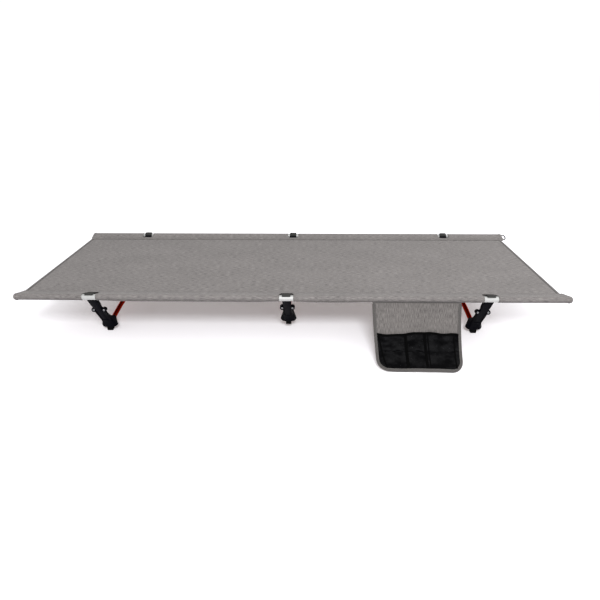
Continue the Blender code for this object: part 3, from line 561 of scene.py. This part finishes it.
sleeve_uvs = joined(np.hstack([along, along[:, :1]]), np.append(girth, girth[-1] + 2 * CLOTH_THICKNESS))
for side, axis_y, inward in SIDES:
    points = joined(along, axis_y + inward * section[..., 0], RAIL_Z + section[..., 1])
    sleeve = surface(f"{side}_cloth_sleeve", points, sleeve_uvs, ring=True, capped=True, kept=kept)
    thicken(sleeve, CLOTH_THICKNESS * 0.9, -1.0)
    dress(fine_shade(sleeve, 50), sleeve_canvas, "bed", "cloth_grey", f"{side}_sleeve")


# Panel: one sheet of the canvas stretched between the two seams, with a folded and sewn hem
# at each short end. Faint ripples run across it where the rails pull it tight.
PANEL_THICKNESS = 0.0012
PANEL_Z = RAIL_Z - SEAM_DROP
HEM_WIDTH = 0.011
HEM_THICKNESS = 0.0026
HEM_LINE_FROM, HEM_LINE_TO = 0.0030, 0.0050
RIPPLE = 0.00045
PUCKER = 0.0011
PUCKER_RUN = 0.0060

panel_x = spaced([-PANEL_END + HEM_WIDTH * 0.5, PANEL_END - HEM_WIDTH * 0.5], 0.009)
seam_columns = np.array([-0.001, 0.002, 0.005, 0.008, 0.012])
near_edge, far_edge = NEAR_Y + SEAM_REACH + seam_columns, FAR_Y - SEAM_REACH - seam_columns
panel_y = spaced([*near_edge, *far_edge], 0.009)
x, y = np.meshgrid(panel_x, panel_y, indexing="ij")
edge_ease = np.clip((y - panel_y[0]) * (panel_y[-1] - y) / 0.02, 0, 1)
end_ease = np.clip((PANEL_END - np.abs(x)) / 0.05, 0, 1)
ripple = np.sin(x * 21 + 2.2 * np.sin(y * 5)) * 0.6 + np.sin(x * 47 + y * 9) * 0.3
ripple += np.sin(y * 16 + x * 2) * 0.4
from_seam = np.minimum(y - panel_y[0], panel_y[-1] - y)
z = PANEL_Z + RIPPLE * ripple * edge_ease * end_ease - PUCKER * np.exp(-((from_seam / PUCKER_RUN) ** 2))
panel = thicken(surface("canvas_panel", joined(x, y, z), joined(x, y)), PANEL_THICKNESS)
dress(panel, canvas, "bed", "cloth_grey", "main_panel")

# The hem is the canvas again, painted darker for the shade of its fold, with a line of painted shade along its
# stitches
hem_start = PANEL_END - HEM_WIDTH
hem_canvas = woven("hem_canvas", CLOTH_DARK, (0.215, 0.200, 0.195, 1))
hem_across = hem_canvas.part(0, "Object")
hem_across = hem_across.math("ABSOLUTE", hem_across)
stitch_line_shade = 1 - hem_across.above(hem_start + HEM_LINE_FROM, hem_start + HEM_LINE_TO)
hem_canvas.tint(stitch_line_shade * 0.8, hem_canvas.colour(), CLOTH_SHADE)

around = np.linspace(0, 2 * np.pi, 28, endpoint=False)
wide = HEM_WIDTH / 2 * np.abs(np.cos(around)) ** 0.35 * np.sign(np.cos(around))
high = HEM_THICKNESS / 2 * np.abs(np.sin(around)) ** 0.7 * np.sign(np.sin(around))
hem_y = spaced([NEAR_Y + SEAM_REACH - 0.002, FAR_Y - SEAM_REACH + 0.002], 0.012)[:, None]
hem_uvs = joined(np.linspace(0, 2 * HEM_WIDTH, len(around) + 1), hem_y)
for sign, end_name in ((-1, "left"), (1, "right")):
    points = joined(sign * (PANEL_END - HEM_WIDTH / 2) + wide, hem_y, PANEL_Z + high)
    hem = surface(f"{end_name}_folded_hem", points, hem_uvs, ring=True, capped=True)
    dress(fine_shade(hem, 60), hem_canvas, "bed", "tape_grey", f"{end_name}_hem")


# Stitches: lockstitch rows of heavy thread along both seams and both hems. Each stitch is a short
# bead pulled down a little into the cloth.
STITCH_PITCH = 0.0034
STITCH_LENGTH = 0.0026
STITCH_R = 0.00032
SEAM_ROWS = (0.0025, 0.0085)
ROW_INSET = 0.001
HEM_ROW = 0.0022


def at_lengths(path, lengths, values=None):
    """The points of a path at some lengths along it, or what other values of its points are there."""
    gone = gone_along(path)
    values = path if values is None else values
    return joined(*(np.interp(lengths, gone, column) for column in values.T))


def stitch_row(name, path, above, body):
    """Beads on a path, evenly spaced: each is a small capsule turned along the path's direction."""
    gone = gone_along(path)
    count = int(gone[-1] / STITCH_PITCH)
    middles = (np.arange(count) + 0.5) * gone[-1] / count
    at = at_lengths(path, middles)
    ahead = at_lengths(path, middles + 1e-4) - at_lengths(path, middles - 1e-4)
    ahead /= np.linalg.norm(ahead, axis=1)[:, None]
    above = at_lengths(path, middles, np.broadcast_to(np.asarray(above, float), path.shape))
    beside = np.cross(ahead, above)
    beside /= np.linalg.norm(beside, axis=1)[:, None]
    over = np.cross(beside, ahead)
    share = np.array([-1.0, -0.8, -0.3, 0.3, 0.8, 1.0])
    thick = np.array([0.25, 0.8, 1.0, 1.0, 0.8, 0.25]) * STITCH_R
    lift = STITCH_R * (0.75 - 1.1 * share**2)
    angle = np.linspace(0, 2 * np.pi, 6, endpoint=False)
    along = share[:, None] * STITCH_LENGTH / 2 + 0 * angle
    side = thick[:, None] * np.cos(angle)
    high = lift[:, None] + thick[:, None] * np.sin(angle)
    beads = (
        at[:, None, None]
        + along[None, :, :, None] * ahead[:, None, None]
        + side[None, :, :, None] * beside[:, None, None]
        + high[None, :, :, None] * over[:, None, None]
    )
    uvs = joined(share[:, None], np.linspace(0, 1, 7)) * STITCH_R
    row = surface(name, beads, uvs, ring=True, capped=True)
    return dress(row, thread_finish, body, "tape_grey")


seam_top = PANEL_Z + CLOTH_THICKNESS
seam_x = np.linspace(ROW_INSET - PANEL_END, PANEL_END - ROW_INSET, 400)
for side, axis_y, inward in SIDES:
    for number, back in enumerate(SEAM_ROWS):
        rise = back / (SEAM_REACH - ROW_INSET) * (SLEEVE_R - seam_top + RAIL_Z)
        row = joined(seam_x, axis_y + inward * (SEAM_REACH - back), seam_top + rise)
        stitch_row(f"{side}_seam_stitches_{number + 1}", row, (0, 0, 1), "bed")
row_y = np.linspace(NEAR_Y + SEAM_REACH + 0.002, FAR_Y - SEAM_REACH - 0.002, 200)
for sign, end_name in ((-1, "left"), (1, "right")):
    row = joined(sign * (hem_start + HEM_ROW), row_y, PANEL_Z + HEM_THICKNESS / 2)
    stitch_row(f"{end_name}_hem_stitches", row, (0, 0, 1), "bed")

# The row that holds each window's turned edge: down one side, across the top and down the other
girth_section = sleeve_section([SEAM_REACH], top_shares, arc_shares, CLOTH_THICKNESS * 0.1)[0]
cut_sides = np.arange(top_column, low_column)
half = WINDOW_TOP_HALF + (WINDOW_HALF - WINDOW_TOP_HALF) * cut_share[cut_sides] + WINDOW_HEM
cut = girth_section[cut_sides]
top_cut = cut[0] + np.array([WINDOW_HEM, WINDOW_HEM * (cut[0, 1] - cut[1, 1]) / (cut[0, 0] - cut[1, 0])])
row_x = np.concatenate([-half[::-1], [-WINDOW_TOP_HALF, WINDOW_TOP_HALF], half])
row_in, row_up = np.concatenate([cut[::-1], [top_cut, top_cut], cut]).T
for side, axis_y, inward in SIDES:
    facing = joined(0.0, inward * row_in * (row_in < SLEEVE_R), row_up)
    for leg, middle in LEG_X.items():
        row = joined(middle + row_x, axis_y + inward * row_in, RAIL_Z + row_up)
        stitch_row(f"{side}_{leg}_window_stitches", row, facing, "bed")


# Pocket flap: a doubled piece of the canvas, sewn under the near sleeve between the middle and the
# right leg. It leans out to the floor, with its own slubs running down it.
FLAP_FROM_X = 0.2875
FLAP_WIDTH = 0.3025
FLAP_TAPER_LEFT, FLAP_TAPER_RIGHT = 0.0115, 0.0105
FLAP_CORNER = 0.043
FLAP_SKEW = 0.034
FLAP_THICKNESS = 0.0016
FLAP_START, FLAP_INSET = -0.0008, 0.0012
FLAP_WAVE = 0.0013
FLAP_ROUTE = (
    (0.0050, 0.0118), (0.0230, 0.0520), (0.0560, 0.1000),
    (0.0930, 0.1400), (0.1295, 0.1710), (0.1625, 0.1868),
)
flap_line = through([(0.0, NEAR_Y - out, RAIL_Z - down) for out, down in FLAP_ROUTE], 24)
FLAP_LENGTH = float(gone_along(flap_line)[-1])
FLAP_MIDDLE = FLAP_FROM_X + FLAP_WIDTH / 2


def on_flap(across, gone, lift):
    """Points of the hanging cloth: its side line at a length down it, moved along its face's normal.

    Slow waves that grow toward the foot, and lift it, are added to every layer alike. The cloth
    narrows toward its foot, and hangs a little longer at its right side.
    """
    share = np.clip(gone / FLAP_LENGTH, 0, 1)
    gone = gone * (1 - FLAP_SKEW * (FLAP_WIDTH / 2 - across))
    run = at_lengths(flap_line, gone + 0.002) - at_lengths(flap_line, gone - 0.002)
    run /= np.linalg.norm(run, axis=-1, keepdims=True)
    outward = joined(0.0, run[..., 2], -run[..., 1])
    ruffle = 1.7 + np.sin(across * 31 + 0.8) + 0.5 * np.sin(across * 67 + share * 3)
    points = at_lengths(flap_line, gone) + outward * (lift + FLAP_WAVE * share**1.5 * ruffle)[..., None]
    taper = np.where(across > 0, FLAP_TAPER_RIGHT, FLAP_TAPER_LEFT)
    points[..., 0] = FLAP_MIDDLE + across * (1 - taper * share / (FLAP_WIDTH / 2))
    return points


def flap_half(gone, inset):
    """Half the flap's untapered width at a length down it, with its corner rounded off."""
    corner = FLAP_CORNER - inset
    left = np.clip(FLAP_LENGTH - inset - gone, 0, corner)
    return FLAP_WIDTH / 2 - inset - (corner - np.sqrt(np.maximum(corner**2 - (corner - left) ** 2, 0)))


def down_rows(even, foot, turned):
    """Lengths down the cloth: even ones to the bend, then closer ones through the rounded corners."""
    bend = even[-1]
    return np.concatenate([even, bend + (foot - bend) * np.sin(np.linspace(0, np.pi / 2, turned)[1:])])


foot = FLAP_LENGTH - FLAP_INSET
gone = down_rows(spaced([FLAP_START, foot - (FLAP_CORNER - FLAP_INSET)], 0.005), foot, 14)[:, None]
across = flap_half(gone, FLAP_INSET) * np.linspace(-1, 1, 61)
flap_cloth = surface("flap_canvas", on_flap(across, gone, 0.0), joined(gone, across))
thicken(flap_cloth, FLAP_THICKNESS)
dress(flap_cloth, flap_canvas, "flap", "cloth_grey", "flap_panel")

# Flap binding: woven edge tape folded over the flap's two sides and foot and sewn through, with
# its corners eased round.
BINDING_WIDTH = 0.0115
BINDING_THICKNESS = 0.0007
BINDING_START = 0.0040
BINDING_STITCH = 0.0024
tape = Finish("binding_tape", Sheen_Weight=0.05, Sheen_Roughness=0.5, Specular_IOR_Level=0.15)
rib = tape.part(0).waves(0.0009)
mottle = tape.noise((500, 250, 1), 3.0)
tone = mottle * 0.8 + rib * 0.1 + 0.05
tape.tint(tone, (0.030, 0.028, 0.027, 1), (0.115, 0.108, 0.104, 1), Roughness=0.78 + mottle * 0.12)
tape.bump(rib, 0.0001)


def flap_rim(inset, start):
    """The flap's outline at an inset: down the left side, round the foot's corners, up the right side.

    The side runs are straight and the corners are quarter circles about one centre for each corner.
    """
    turn = np.linspace(0, np.pi / 2, 13)
    centre_x, centre_s = FLAP_WIDTH / 2 - FLAP_CORNER, FLAP_LENGTH - FLAP_CORNER
    down = joined(inset - FLAP_WIDTH / 2, np.linspace(start, centre_s, 60)[:-1])
    corner = np.array([-centre_x, centre_s]) + (FLAP_CORNER - inset) * joined(-np.cos(turn), np.sin(turn))
    left = np.concatenate([down, corner])
    foot = joined(np.linspace(-centre_x, centre_x, 61)[1:-1], FLAP_LENGTH - inset)
    return np.concatenate([left, foot, left[::-1] * (-1, 1)])


def folded(face, nose=()):
    """A tape's fold, across and off the cloth: its back face, its nose and its front face."""
    face = np.array(face)
    return np.concatenate([face * (1, -1), np.reshape(nose, (-1, 2)), face[::-1]])


face = [(BINDING_WIDTH - 0.0006, 0.00125), (BINDING_WIDTH - 0.0030, 0.0015)]
face += [(0.0030, 0.0016), (0.0006, 0.0014), (-0.0003, 0.0008)]
fold = folded(face, (-0.0005, 0.0))
rims = np.stack([flap_rim(inset, BINDING_START) for inset, _ in fold], 1)
points = on_flap(rims[..., 0], rims[..., 1], fold[:, 1])
binding = surface("flap_edge_tape", points, joined(gone_along(points[:, 5])[:, None], gone_along(fold)))
thicken(binding, BINDING_THICKNESS)
dress(fine_shade(binding, 70), tape, "flap", "tape_grey", "flap_binding")
across, gone = flap_rim(BINDING_WIDTH - BINDING_STITCH, BINDING_START + 0.0005).T
path = on_flap(across, gone, BINDING_THICKNESS / 2 + 0.0015)
flap_stitches = stitch_row("flap_binding_stitches", path, (0, -0.9, 0.5), "flap")

# Pocket net: black polyester mesh in one piece with three pockets, sewn in under the binding at
# its sides and foot and down two dividers, pleated at both sides, with a soft tape along its top.
NET_FROM = 0.436
NET_THICKNESS = 0.0007
NET_BULGE = 0.0085
DIVIDERS = (-0.0435, 0.0230)
NET_INSET = 0.0095
NET_FOOT = 0.0115
NET_CORNER = 0.0215
NET_CREASE = 0.0435
net_start, net_end = FLAP_LENGTH * NET_FROM, FLAP_LENGTH - NET_FOOT


def net_lift(across, gone):
    """How far the net stands off the flap: a hump in each pocket, drawn down at seams and foot."""
    base = FLAP_THICKNESS / 2 + NET_THICKNESS + 0.0002
    down = np.clip((gone - net_start) / (net_end - net_start), 0, 1)
    half = FLAP_WIDTH / 2 - NET_INSET
    edges = np.array([-half, *DIVIDERS, half])
    pocket = np.clip(np.searchsorted(edges, across) - 1, 0, 2)
    span = (across - edges[pocket]) / (edges[pocket + 1] - edges[pocket])
    hump = np.sqrt(np.clip(np.sin(np.pi * np.clip(span, 0, 1)), 0, 1))
    foot = np.clip((1 - down) / 0.14, 0, 1) ** 0.5
    crease = -0.34 * np.exp(-(((down - 0.48 - 0.03 * np.sin(across * 40)) / 0.03) ** 2))
    slant = -0.26 * np.exp(-(((down - 0.30 + 4.2 * (across + 0.105)) / 0.05) ** 2)) * (across < DIVIDERS[0])
    pucker = 0.10 * np.sin(across * 130 + down * 9) + 0.07 * np.sin(across * 290 - down * 21)
    sag = 0.70 + 0.30 * np.sin(np.pi * down) + crease + slant + pucker
    return base + NET_BULGE * hump * foot * sag


def net_top(across):
    """How far the pocket's top edge sags below its straight line: it dips between its seams."""
    dip = 0.0062 * np.exp(-(((across + 0.095) / 0.034) ** 2))
    return dip - 0.0048 * np.exp(-(((across - 0.022) / 0.036) ** 2)) + 0.0012 * np.sin(across * 90)


down = down_rows(np.linspace(net_start, net_end - NET_CORNER, 46), net_end, 15)[:, None]
across = flap_half(down, NET_INSET) * np.linspace(-1, 1, 121)
gone = down + net_top(across) * (1 - (down - net_start) / (net_end - net_start))
net = surface("pocket_mesh", on_flap(across, gone, net_lift(across, gone)), joined(gone, across))
thicken(net, NET_THICKNESS * 0.6)

knit = Finish("knitted_mesh", Roughness=0.7, Specular_IOR_Level=0.01)
knit_u, knit_v = (knit.part(axis) for axis in (0, 1))
MESH_PITCH = 0.0030
cell = (knit_u + knit_v).waves(2 * MESH_PITCH) * (knit_u - knit_v).waves(2 * MESH_PITCH)
cell = cell * cell
tight = knit.noise((150, 130, 1), 2.0)
side = knit_v.math("ABSOLUTE", knit_v).above(0.108, 0.138)
foot = knit_u.above(FLAP_LENGTH - 0.045, FLAP_LENGTH - 0.015)
hole = (cell + (tight - 0.5) * 1.6 + side * 0.14 + foot * 0.10).above(0.92, 1.04)
yarn = knit.noise((700, 700, 1), 2.0)
slack = knit.noise((34, 17, 1), 3.0, 0.6)
# Painted shade: the net is darker along wavy fold lines that run across it
wrinkled = knit_u + slack * 0.060 - 0.030
flat_part = wrinkled.math("PINGPONG", wrinkled, NET_CREASE).above(0.0, 0.0040)
crease = 1 - (1 - flat_part) * slack.above(0.40, 0.56)
tone = (yarn * 0.25 + slack.above(0.36, 0.66) * 0.75) * crease
knit.tint(tone, (0.0006, 0.0006, 0.0008, 1), (0.0085, 0.0085, 0.0090, 1), Alpha=1 - hole * 0.8)
knit.bump(0 - cell, 0.0003)
dress(net, knit, "flap", "net_black", "pocket_net")

black_tape = Finish("black_tape", Specular_IOR_Level=0.02)
black_rib = black_tape.part(1).waves(0.0008)
dust = black_tape.noise((300, 300, 1), 3.0)
black_tape.tint(dust, (0.0005, 0.0005, 0.0005, 1), (0.0022, 0.0022, 0.0023, 1), Roughness=0.7 + dust * 0.2)
black_tape.bump(black_rib, 0.0001)

# Pocket top tape: folded elastic tape sewn over the net's top edge. It draws the edge in, and lets
# it wave between the seams.
TOP_TAPE = 0.008
TAPE_THICKNESS = 0.0005
fold = folded([(TOP_TAPE, 0.0007), (0.0010, 0.0009), (-0.0003, 0.0004)])
across = np.linspace(-1, 1, 121)[:, None] * (FLAP_WIDTH / 2 - NET_INSET)
gone = net_start + net_top(across) + fold[:, 0]
lift = net_lift(across, gone) + fold[:, 1] + 0.0004
top_tape = surface("pocket_edge_tape", on_flap(across, gone, lift), joined(gone, across))
thicken(top_tape, TAPE_THICKNESS)
dress(fine_shade(top_tape, 70), black_tape, "flap", "net_black", "pocket_top_tape")

# Pocket dividers and side pleats: narrow black tapes, a little raised along their middle, sewn
# down through the net to the flap. The pleats slant inward to the foot.
DIVIDER_PLACES = (*DIVIDERS, DIVIDERS[1] + 0.0110, -0.1350, 0.1240)
DIVIDER_WIDTHS = (0.0105, 0.0095, 0.0030, 0.0055, 0.0050)
DIVIDER_SLANTS = (0.002, 0.003, 0.003, 0.018, 0.004)
down = np.linspace(0.02, 0.985, 40)[:, None]
gone = net_start + (net_end - net_start) * down
tape_share = np.array([-1, -0.8, 0, 0.8, 1])
raised = np.array([0, 0.0007, 0.0010, 0.0007, 0]) + 0.0003
divider_tapes = []
for place, width, slant in zip(DIVIDER_PLACES, DIVIDER_WIDTHS, DIVIDER_SLANTS):
    name = f"pocket_divider_{len(divider_tapes) + 1}"
    across = place + slant * down**2 + tape_share * width / 2
    points = on_flap(across, gone, net_lift(across, gone) + raised)
    divider = thicken(surface(name, points, joined(across, gone)), TAPE_THICKNESS)
    divider_tapes.append(dress(divider, black_tape, "flap", "net_black"))

# Flap seam: the rolled edge of canvas in which the flap is sewn along the sleeve's underside. It
# stays on the sleeve when the flap swings.
SEAM_ROLL_R = 0.0011
roll_x = np.linspace(FLAP_FROM_X, FLAP_FROM_X + FLAP_WIDTH, 80)
roll_path = joined(roll_x, NEAR_Y - FLAP_ROUTE[0][0] + 0.0002, RAIL_Z - FLAP_ROUTE[0][1] + 0.0009)
rings, uvs = carried(roll_path, SEAM_ROLL_R, 12, (0, 0, 1))
seam_roll = surface("flap_seam_roll", rings, uvs, ring=True, capped=True)
# It is coloured with the darker binding tape: painted shade of the gap where the flap meets the sleeve
dress(fine_shade(seam_roll, 60), tape, "bed", "cloth_grey")


# Levers and hubs: glass-filled nylon, injection moulded in black, with a fine spark grain and
# softened edges. Each lever hooks over its rail and turns on the cross pin of its hub.
MOULD_EDGE = 0.0006
MOULD_ANGLE = math.radians(32.0)
DOUBLES = 0.000005
HOOK_FROM, HOOK_TO = 0.190, 0.199

nylon = Finish("moulded_nylon", "Object", Specular_IOR_Level=0.02)
grain = nylon.noise((1800, 1800, 1800), 2.0)
flow = nylon.noise((45, 45, 45), 3.0)
scuff = nylon.noise((260, 900, 260), 3.0).above(0.62, 0.80)
tone = flow * 0.5 + scuff * 0.35 + grain * 0.15
moulding = nylon.blend(tone, (0.0004, 0.0004, 0.0012, 1), (0.0042, 0.0042, 0.0066, 1))
# Greyer on the hooks where they rise over the rail: painted light on their up-facing tops
lit_hook_tops = nylon.part(2).above(HOOK_FROM, HOOK_TO)
nylon.tint(
    lit_hook_tops * 0.8, moulding, (0.040, 0.040, 0.038, 1),
    Roughness=0.40 + grain * 0.12 + flow * 0.12 - scuff * 0.08,
)
nylon.bump(grain, 0.00006)


def moulded(name, node, edge, finish, body, slot):
    """A copy of a CAD piece with its doubles merged, its flat faces whole and its edges rounded."""
    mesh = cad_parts[node].data.copy()
    mesh.name = name
    obj = bpy.data.objects.new(name, mesh)
    bpy.context.scene.collection.objects.link(obj)
    modified(obj, "WELD", merge_threshold=DOUBLES)
    modified(obj, "DECIMATE", decimate_type="DISSOLVE", angle_limit=math.radians(1.0))
    edges = {"limit_method": "ANGLE", "angle_limit": MOULD_ANGLE, "harden_normals": True}
    modified(obj, "BEVEL", width=edge, segments=2, **edges)
    mesh.shade_smooth()
    return dress(obj, finish, body, slot, node)


LEGS = [f"{side}_{leg}" for side in ("near", "far") for leg in LEG_X]
for leg in LEGS:
    moulded(f"{leg}_claw_lever", f"{leg}_lever", MOULD_EDGE, nylon, f"{leg}_lever_body", "nylon_black")
    moulded(f"{leg}_leg_hub", f"{leg}_hub", MOULD_EDGE * 0.7, nylon, f"{leg}_hub_body", "nylon_black")


# Feet: blocks of black rubber with a sloped heel, each pressed on a stud into its hub. Their soles
# are rubbed a little paler in places.
FOOT_EDGE = 0.0008
rubber = Finish("foot_rubber", "Object", Specular_IOR_Level=0.02)
speck = rubber.noise((1200, 1200, 1200), 3.0)
rubbed = rubber.noise((90, 90, 90), 2.0)
rubber.tint(rubbed, (0.001, 0.001, 0.001, 1), (0.005, 0.005, 0.005, 1), Roughness=0.72 + speck * 0.2)
rubber.bump(speck, 0.00008)
for leg in LEGS:
    moulded(f"{leg}_rubber_foot", f"{leg}_foot", FOOT_EDGE, rubber, f"{leg}_hub_body", "foot_black")


# Axles: bright steel cross pins with a stem and a domed button in each boss of the hub. They hold
# the lever between the hub's cheeks, and it turns on them.
AXLE_Y, AXLE_Z = 0.0471242, -0.0731931
LEANS = {"left": 0.0, "centre": math.radians(9.0), "right": 0.0}
BOSS_AT = 0.0184
BOSS_FRONT = 0.0065
PIN_R = 0.0030
STEM_R = 0.0026
BUTTON_R = 0.0042
BUTTON_SEAT = 0.0030
BUTTON_DOME = 0.0015
END_CHAMFER = 0.0004
PIN_SIDES = 24

steel = Finish("bright_steel", "Object", Metallic=1.0)
brush = steel.noise((500, 500, 500), 3.0)
steel.tint(brush, (0.11, 0.11, 0.115, 1), (0.28, 0.28, 0.285, 1), Roughness=0.20 + brush * 0.16)


def leaned(lean):
    """Turns a place inward and up of the rail's axis with its leg's lean."""
    return np.array([[math.cos(lean), -math.sin(lean)], [math.sin(lean), math.cos(lean)]])


rise = np.radians(np.linspace(0, 84, 8))
button_profile = np.array([
    (STEM_R, 0.0),
    (STEM_R, BOSS_FRONT - BUTTON_SEAT),
    (BUTTON_R - END_CHAMFER, BOSS_FRONT - BUTTON_SEAT),
    (BUTTON_R, BOSS_FRONT - BUTTON_SEAT + END_CHAMFER),
    *zip(BUTTON_R * np.cos(rise), BOSS_FRONT + BUTTON_DOME * np.sin(rise)),
])
pin_half = BOSS_AT + PIN_R
pin_inner = np.linspace(END_CHAMFER - pin_half, pin_half - END_CHAMFER, len(button_profile) - 2)
pin_along = np.array([-pin_half, *pin_inner, pin_half])
pin_profile = joined(PIN_R, pin_along)
pin_profile[[0, -1], 0] -= END_CHAMFER
pin_uvs = joined(pin_along[:, None], np.linspace(0, 2 * np.pi * PIN_R, PIN_SIDES + 1))
for side, axis_y, inward in SIDES:
    for leg, middle in LEG_X.items():
        turn = leaned(LEANS[leg])
        axle_y, axle_z = turn @ (AXLE_Y, AXLE_Z)
        out_y, out_z = turn @ (-1.0, 0.0)
        centre = np.array([middle, axis_y + inward * axle_y, RAIL_Z + axle_z])
        turned = [(pin_profile, centre, (1.0, 0.0, 0.0))]
        for boss in (-BOSS_AT, BOSS_AT):
            turned.append((button_profile, centre + (boss, 0.0, 0.0), (0.0, inward * out_y, out_z)))
        shapes = [lathed(*shape, PIN_SIDES, (0.3, 0.5, 0.8)) for shape in turned]
        axle = surface(f"{side}_{leg}_cross_pin", np.stack(shapes), pin_uvs, ring=True, capped=True)
        dress(fine_shade(axle), steel, f"{side}_{leg}_hub_body", "bright_steel", f"{side}_{leg}_axle")


# Bows: aluminium poles, dark red anodised, bent flat under the bed and pushed into the hubs'
# sockets. Each is two halves that meet over a ferrule in the middle.
BOW_R = 0.0085
BOW_WALL = 0.0010
BOW_LEAD = 0.060
BOW_STRAIGHT = 0.036
BOW_SIDES = 48
FERRULE_WALL = 0.0010
FERRULE_CHAMFER = 0.0003
SOCKET_DEPTH = 0.0280
SOCKET_WALL = 0.0028
SOCKET_RISE = math.radians(9.5)
SOCKET_MOUTH_INSET = 0.0890
HUB_DROP = 0.1148
FOOT_HEIGHT = 0.0145
TOUCH_GAP = 0.0003
HALF_SPACING = (FAR_Y - NEAR_Y) / 2

anodised = Finish("red_anodised", Metallic=1.0, Specular_Tint=(1.0, 0.30, 0.16, 1))
draw_lines = anodised.noise((12, 1600, 1), 3.0)
cloud = anodised.noise((20, 60, 1), 2.0)
tone = draw_lines * 0.5 + cloud * 0.5
anodised.tint(
    tone, (0.10, 0.003, 0.0015, 1), (0.36, 0.030, 0.007, 1),
    Roughness=0.24 + draw_lines * 0.14 + cloud * 0.06,
)
anodised.bump(draw_lines, 0.00002, 0.5)


def bow_route(lean):
    """The pole's axis, inward and up of the rail: straight out of its socket, a long arc, then level."""
    mouth_y = AXLE_Y + SOCKET_MOUTH_INSET
    floor = np.array([
        mouth_y - SOCKET_DEPTH * math.cos(SOCKET_RISE),
        AXLE_Z - HUB_DROP + FOOT_HEIGHT + SOCKET_WALL + BOW_R + 2 * TOUCH_GAP,
    ])
    rise = np.array([math.cos(SOCKET_RISE), math.sin(SOCKET_RISE)])
    turn = leaned(lean)
    start = turn @ (floor + rise * TOUCH_GAP)
    leave = turn @ (floor + rise * (SOCKET_DEPTH + BOW_LEAD))
    slope = SOCKET_RISE + lean
    radius = (HALF_SPACING - BOW_STRAIGHT - leave[0]) / math.sin(slope)
    angle = slope * (1 - np.linspace(0, 1, 41))
    arc = leave + radius * joined(math.sin(slope) - np.sin(angle), np.cos(angle) - math.cos(slope))
    straight = start + (leave - start) * np.linspace(0, 1, 12)[:-1, None]
    flat = joined(np.linspace(arc[-1, 0], HALF_SPACING - TOUCH_GAP / 2, 6)[1:], arc[-1, 1])
    return np.concatenate([straight, arc, flat])


for leg, middle in LEG_X.items():
    route = bow_route(LEANS[leg])
    for side, axis_y, inward in SIDES:
        path = joined(middle, axis_y + inward * route[:, 0], RAIL_Z + route[:, 1])
        outer, uvs = carried(path, BOW_R, BOW_SIDES, (1, 0, 0))
        inner, _ = carried(path, BOW_R - BOW_WALL, BOW_SIDES, (1, 0, 0))
        tube = np.concatenate([outer, inner[::-1]])
        wall_uvs = np.concatenate([uvs, uvs[::-1], uvs[:1]])
        bow = surface(f"{side}_{leg}_bow_pole", tube, wall_uvs, ring=True, loop=True)
        dress(fine_shade(bow), anodised, f"{side}_{leg}_hub_body", "pole_red", f"{side}_{leg}_bow")
    node = f"{leg}_bow_ferrule"
    ferrule = turned_tube(f"{leg}_bow_joint", node, 1, FERRULE_WALL, FERRULE_CHAMFER, BOW_SIDES)
    dress(ferrule, bright_tube, f"near_{leg}_hub_body", "tube_silver", node)


# Floor and light: a white acrylic table, faintly lit from below, that runs out of view, a soft sky
# all round, a broad softbox high in front of the bed and a smaller one high on its right.
SKY = 1.04
TABLE_GLOW = 0.22

floor_paint = Finish("pale_floor", "Object", Roughness=0.95, Specular_IOR_Level=0.0)
faint = floor_paint.noise((3, 3, 3), 2.0)
floor_paint.tint(faint, (0.765, 0.77, 0.805, 1), (0.795, 0.80, 0.835, 1))
floor_paint.shade(Emission_Color=(1.0, 0.88, 0.84, 1), Emission_Strength=TABLE_GLOW)
reach = np.array([-60.0, 60.0])
floor = surface("studio_floor", joined(reach[:, None], reach, -0.0002), joined(reach[:, None], reach))
floor.data.materials.append(floor_paint.material)

sky = bpy.data.worlds.new("soft_sky")
sky.use_nodes = True
backdrop = sky.node_tree.nodes["Background"]
backdrop.inputs["Color"].default_value = (1.0, 1.0, 1.0, 1.0)
backdrop.inputs["Strength"].default_value = SKY
bpy.context.scene.world = sky


def softbox(name, place, aim, size, power):
    """A rectangular area light at a place, turned to face another."""
    light = bpy.data.lights.new(name, "AREA")
    light.shape = "RECTANGLE"
    light.size, light.size_y = size
    light.energy = power
    back = np.subtract(place, aim) / np.linalg.norm(np.subtract(place, aim))
    side = np.cross((0, 0, 1), back)
    stand(bpy.data.objects.new(name, light), place, side / np.linalg.norm(side), back)


softbox("front_softbox", (0.25, -2.6, 2.3), (0.0, 0.0, 0.1), (1.0, 0.7), 90.0)
softbox("right_softbox", (2.6, 0.3, 1.9), (0.6, 0.0, 0.1), (1.2, 1.2), 30.0)

bpy.context.scene.view_settings.view_transform = "Standard"
bpy.context.scene.view_settings.look = "None"

bpy.context.view_layer.update()
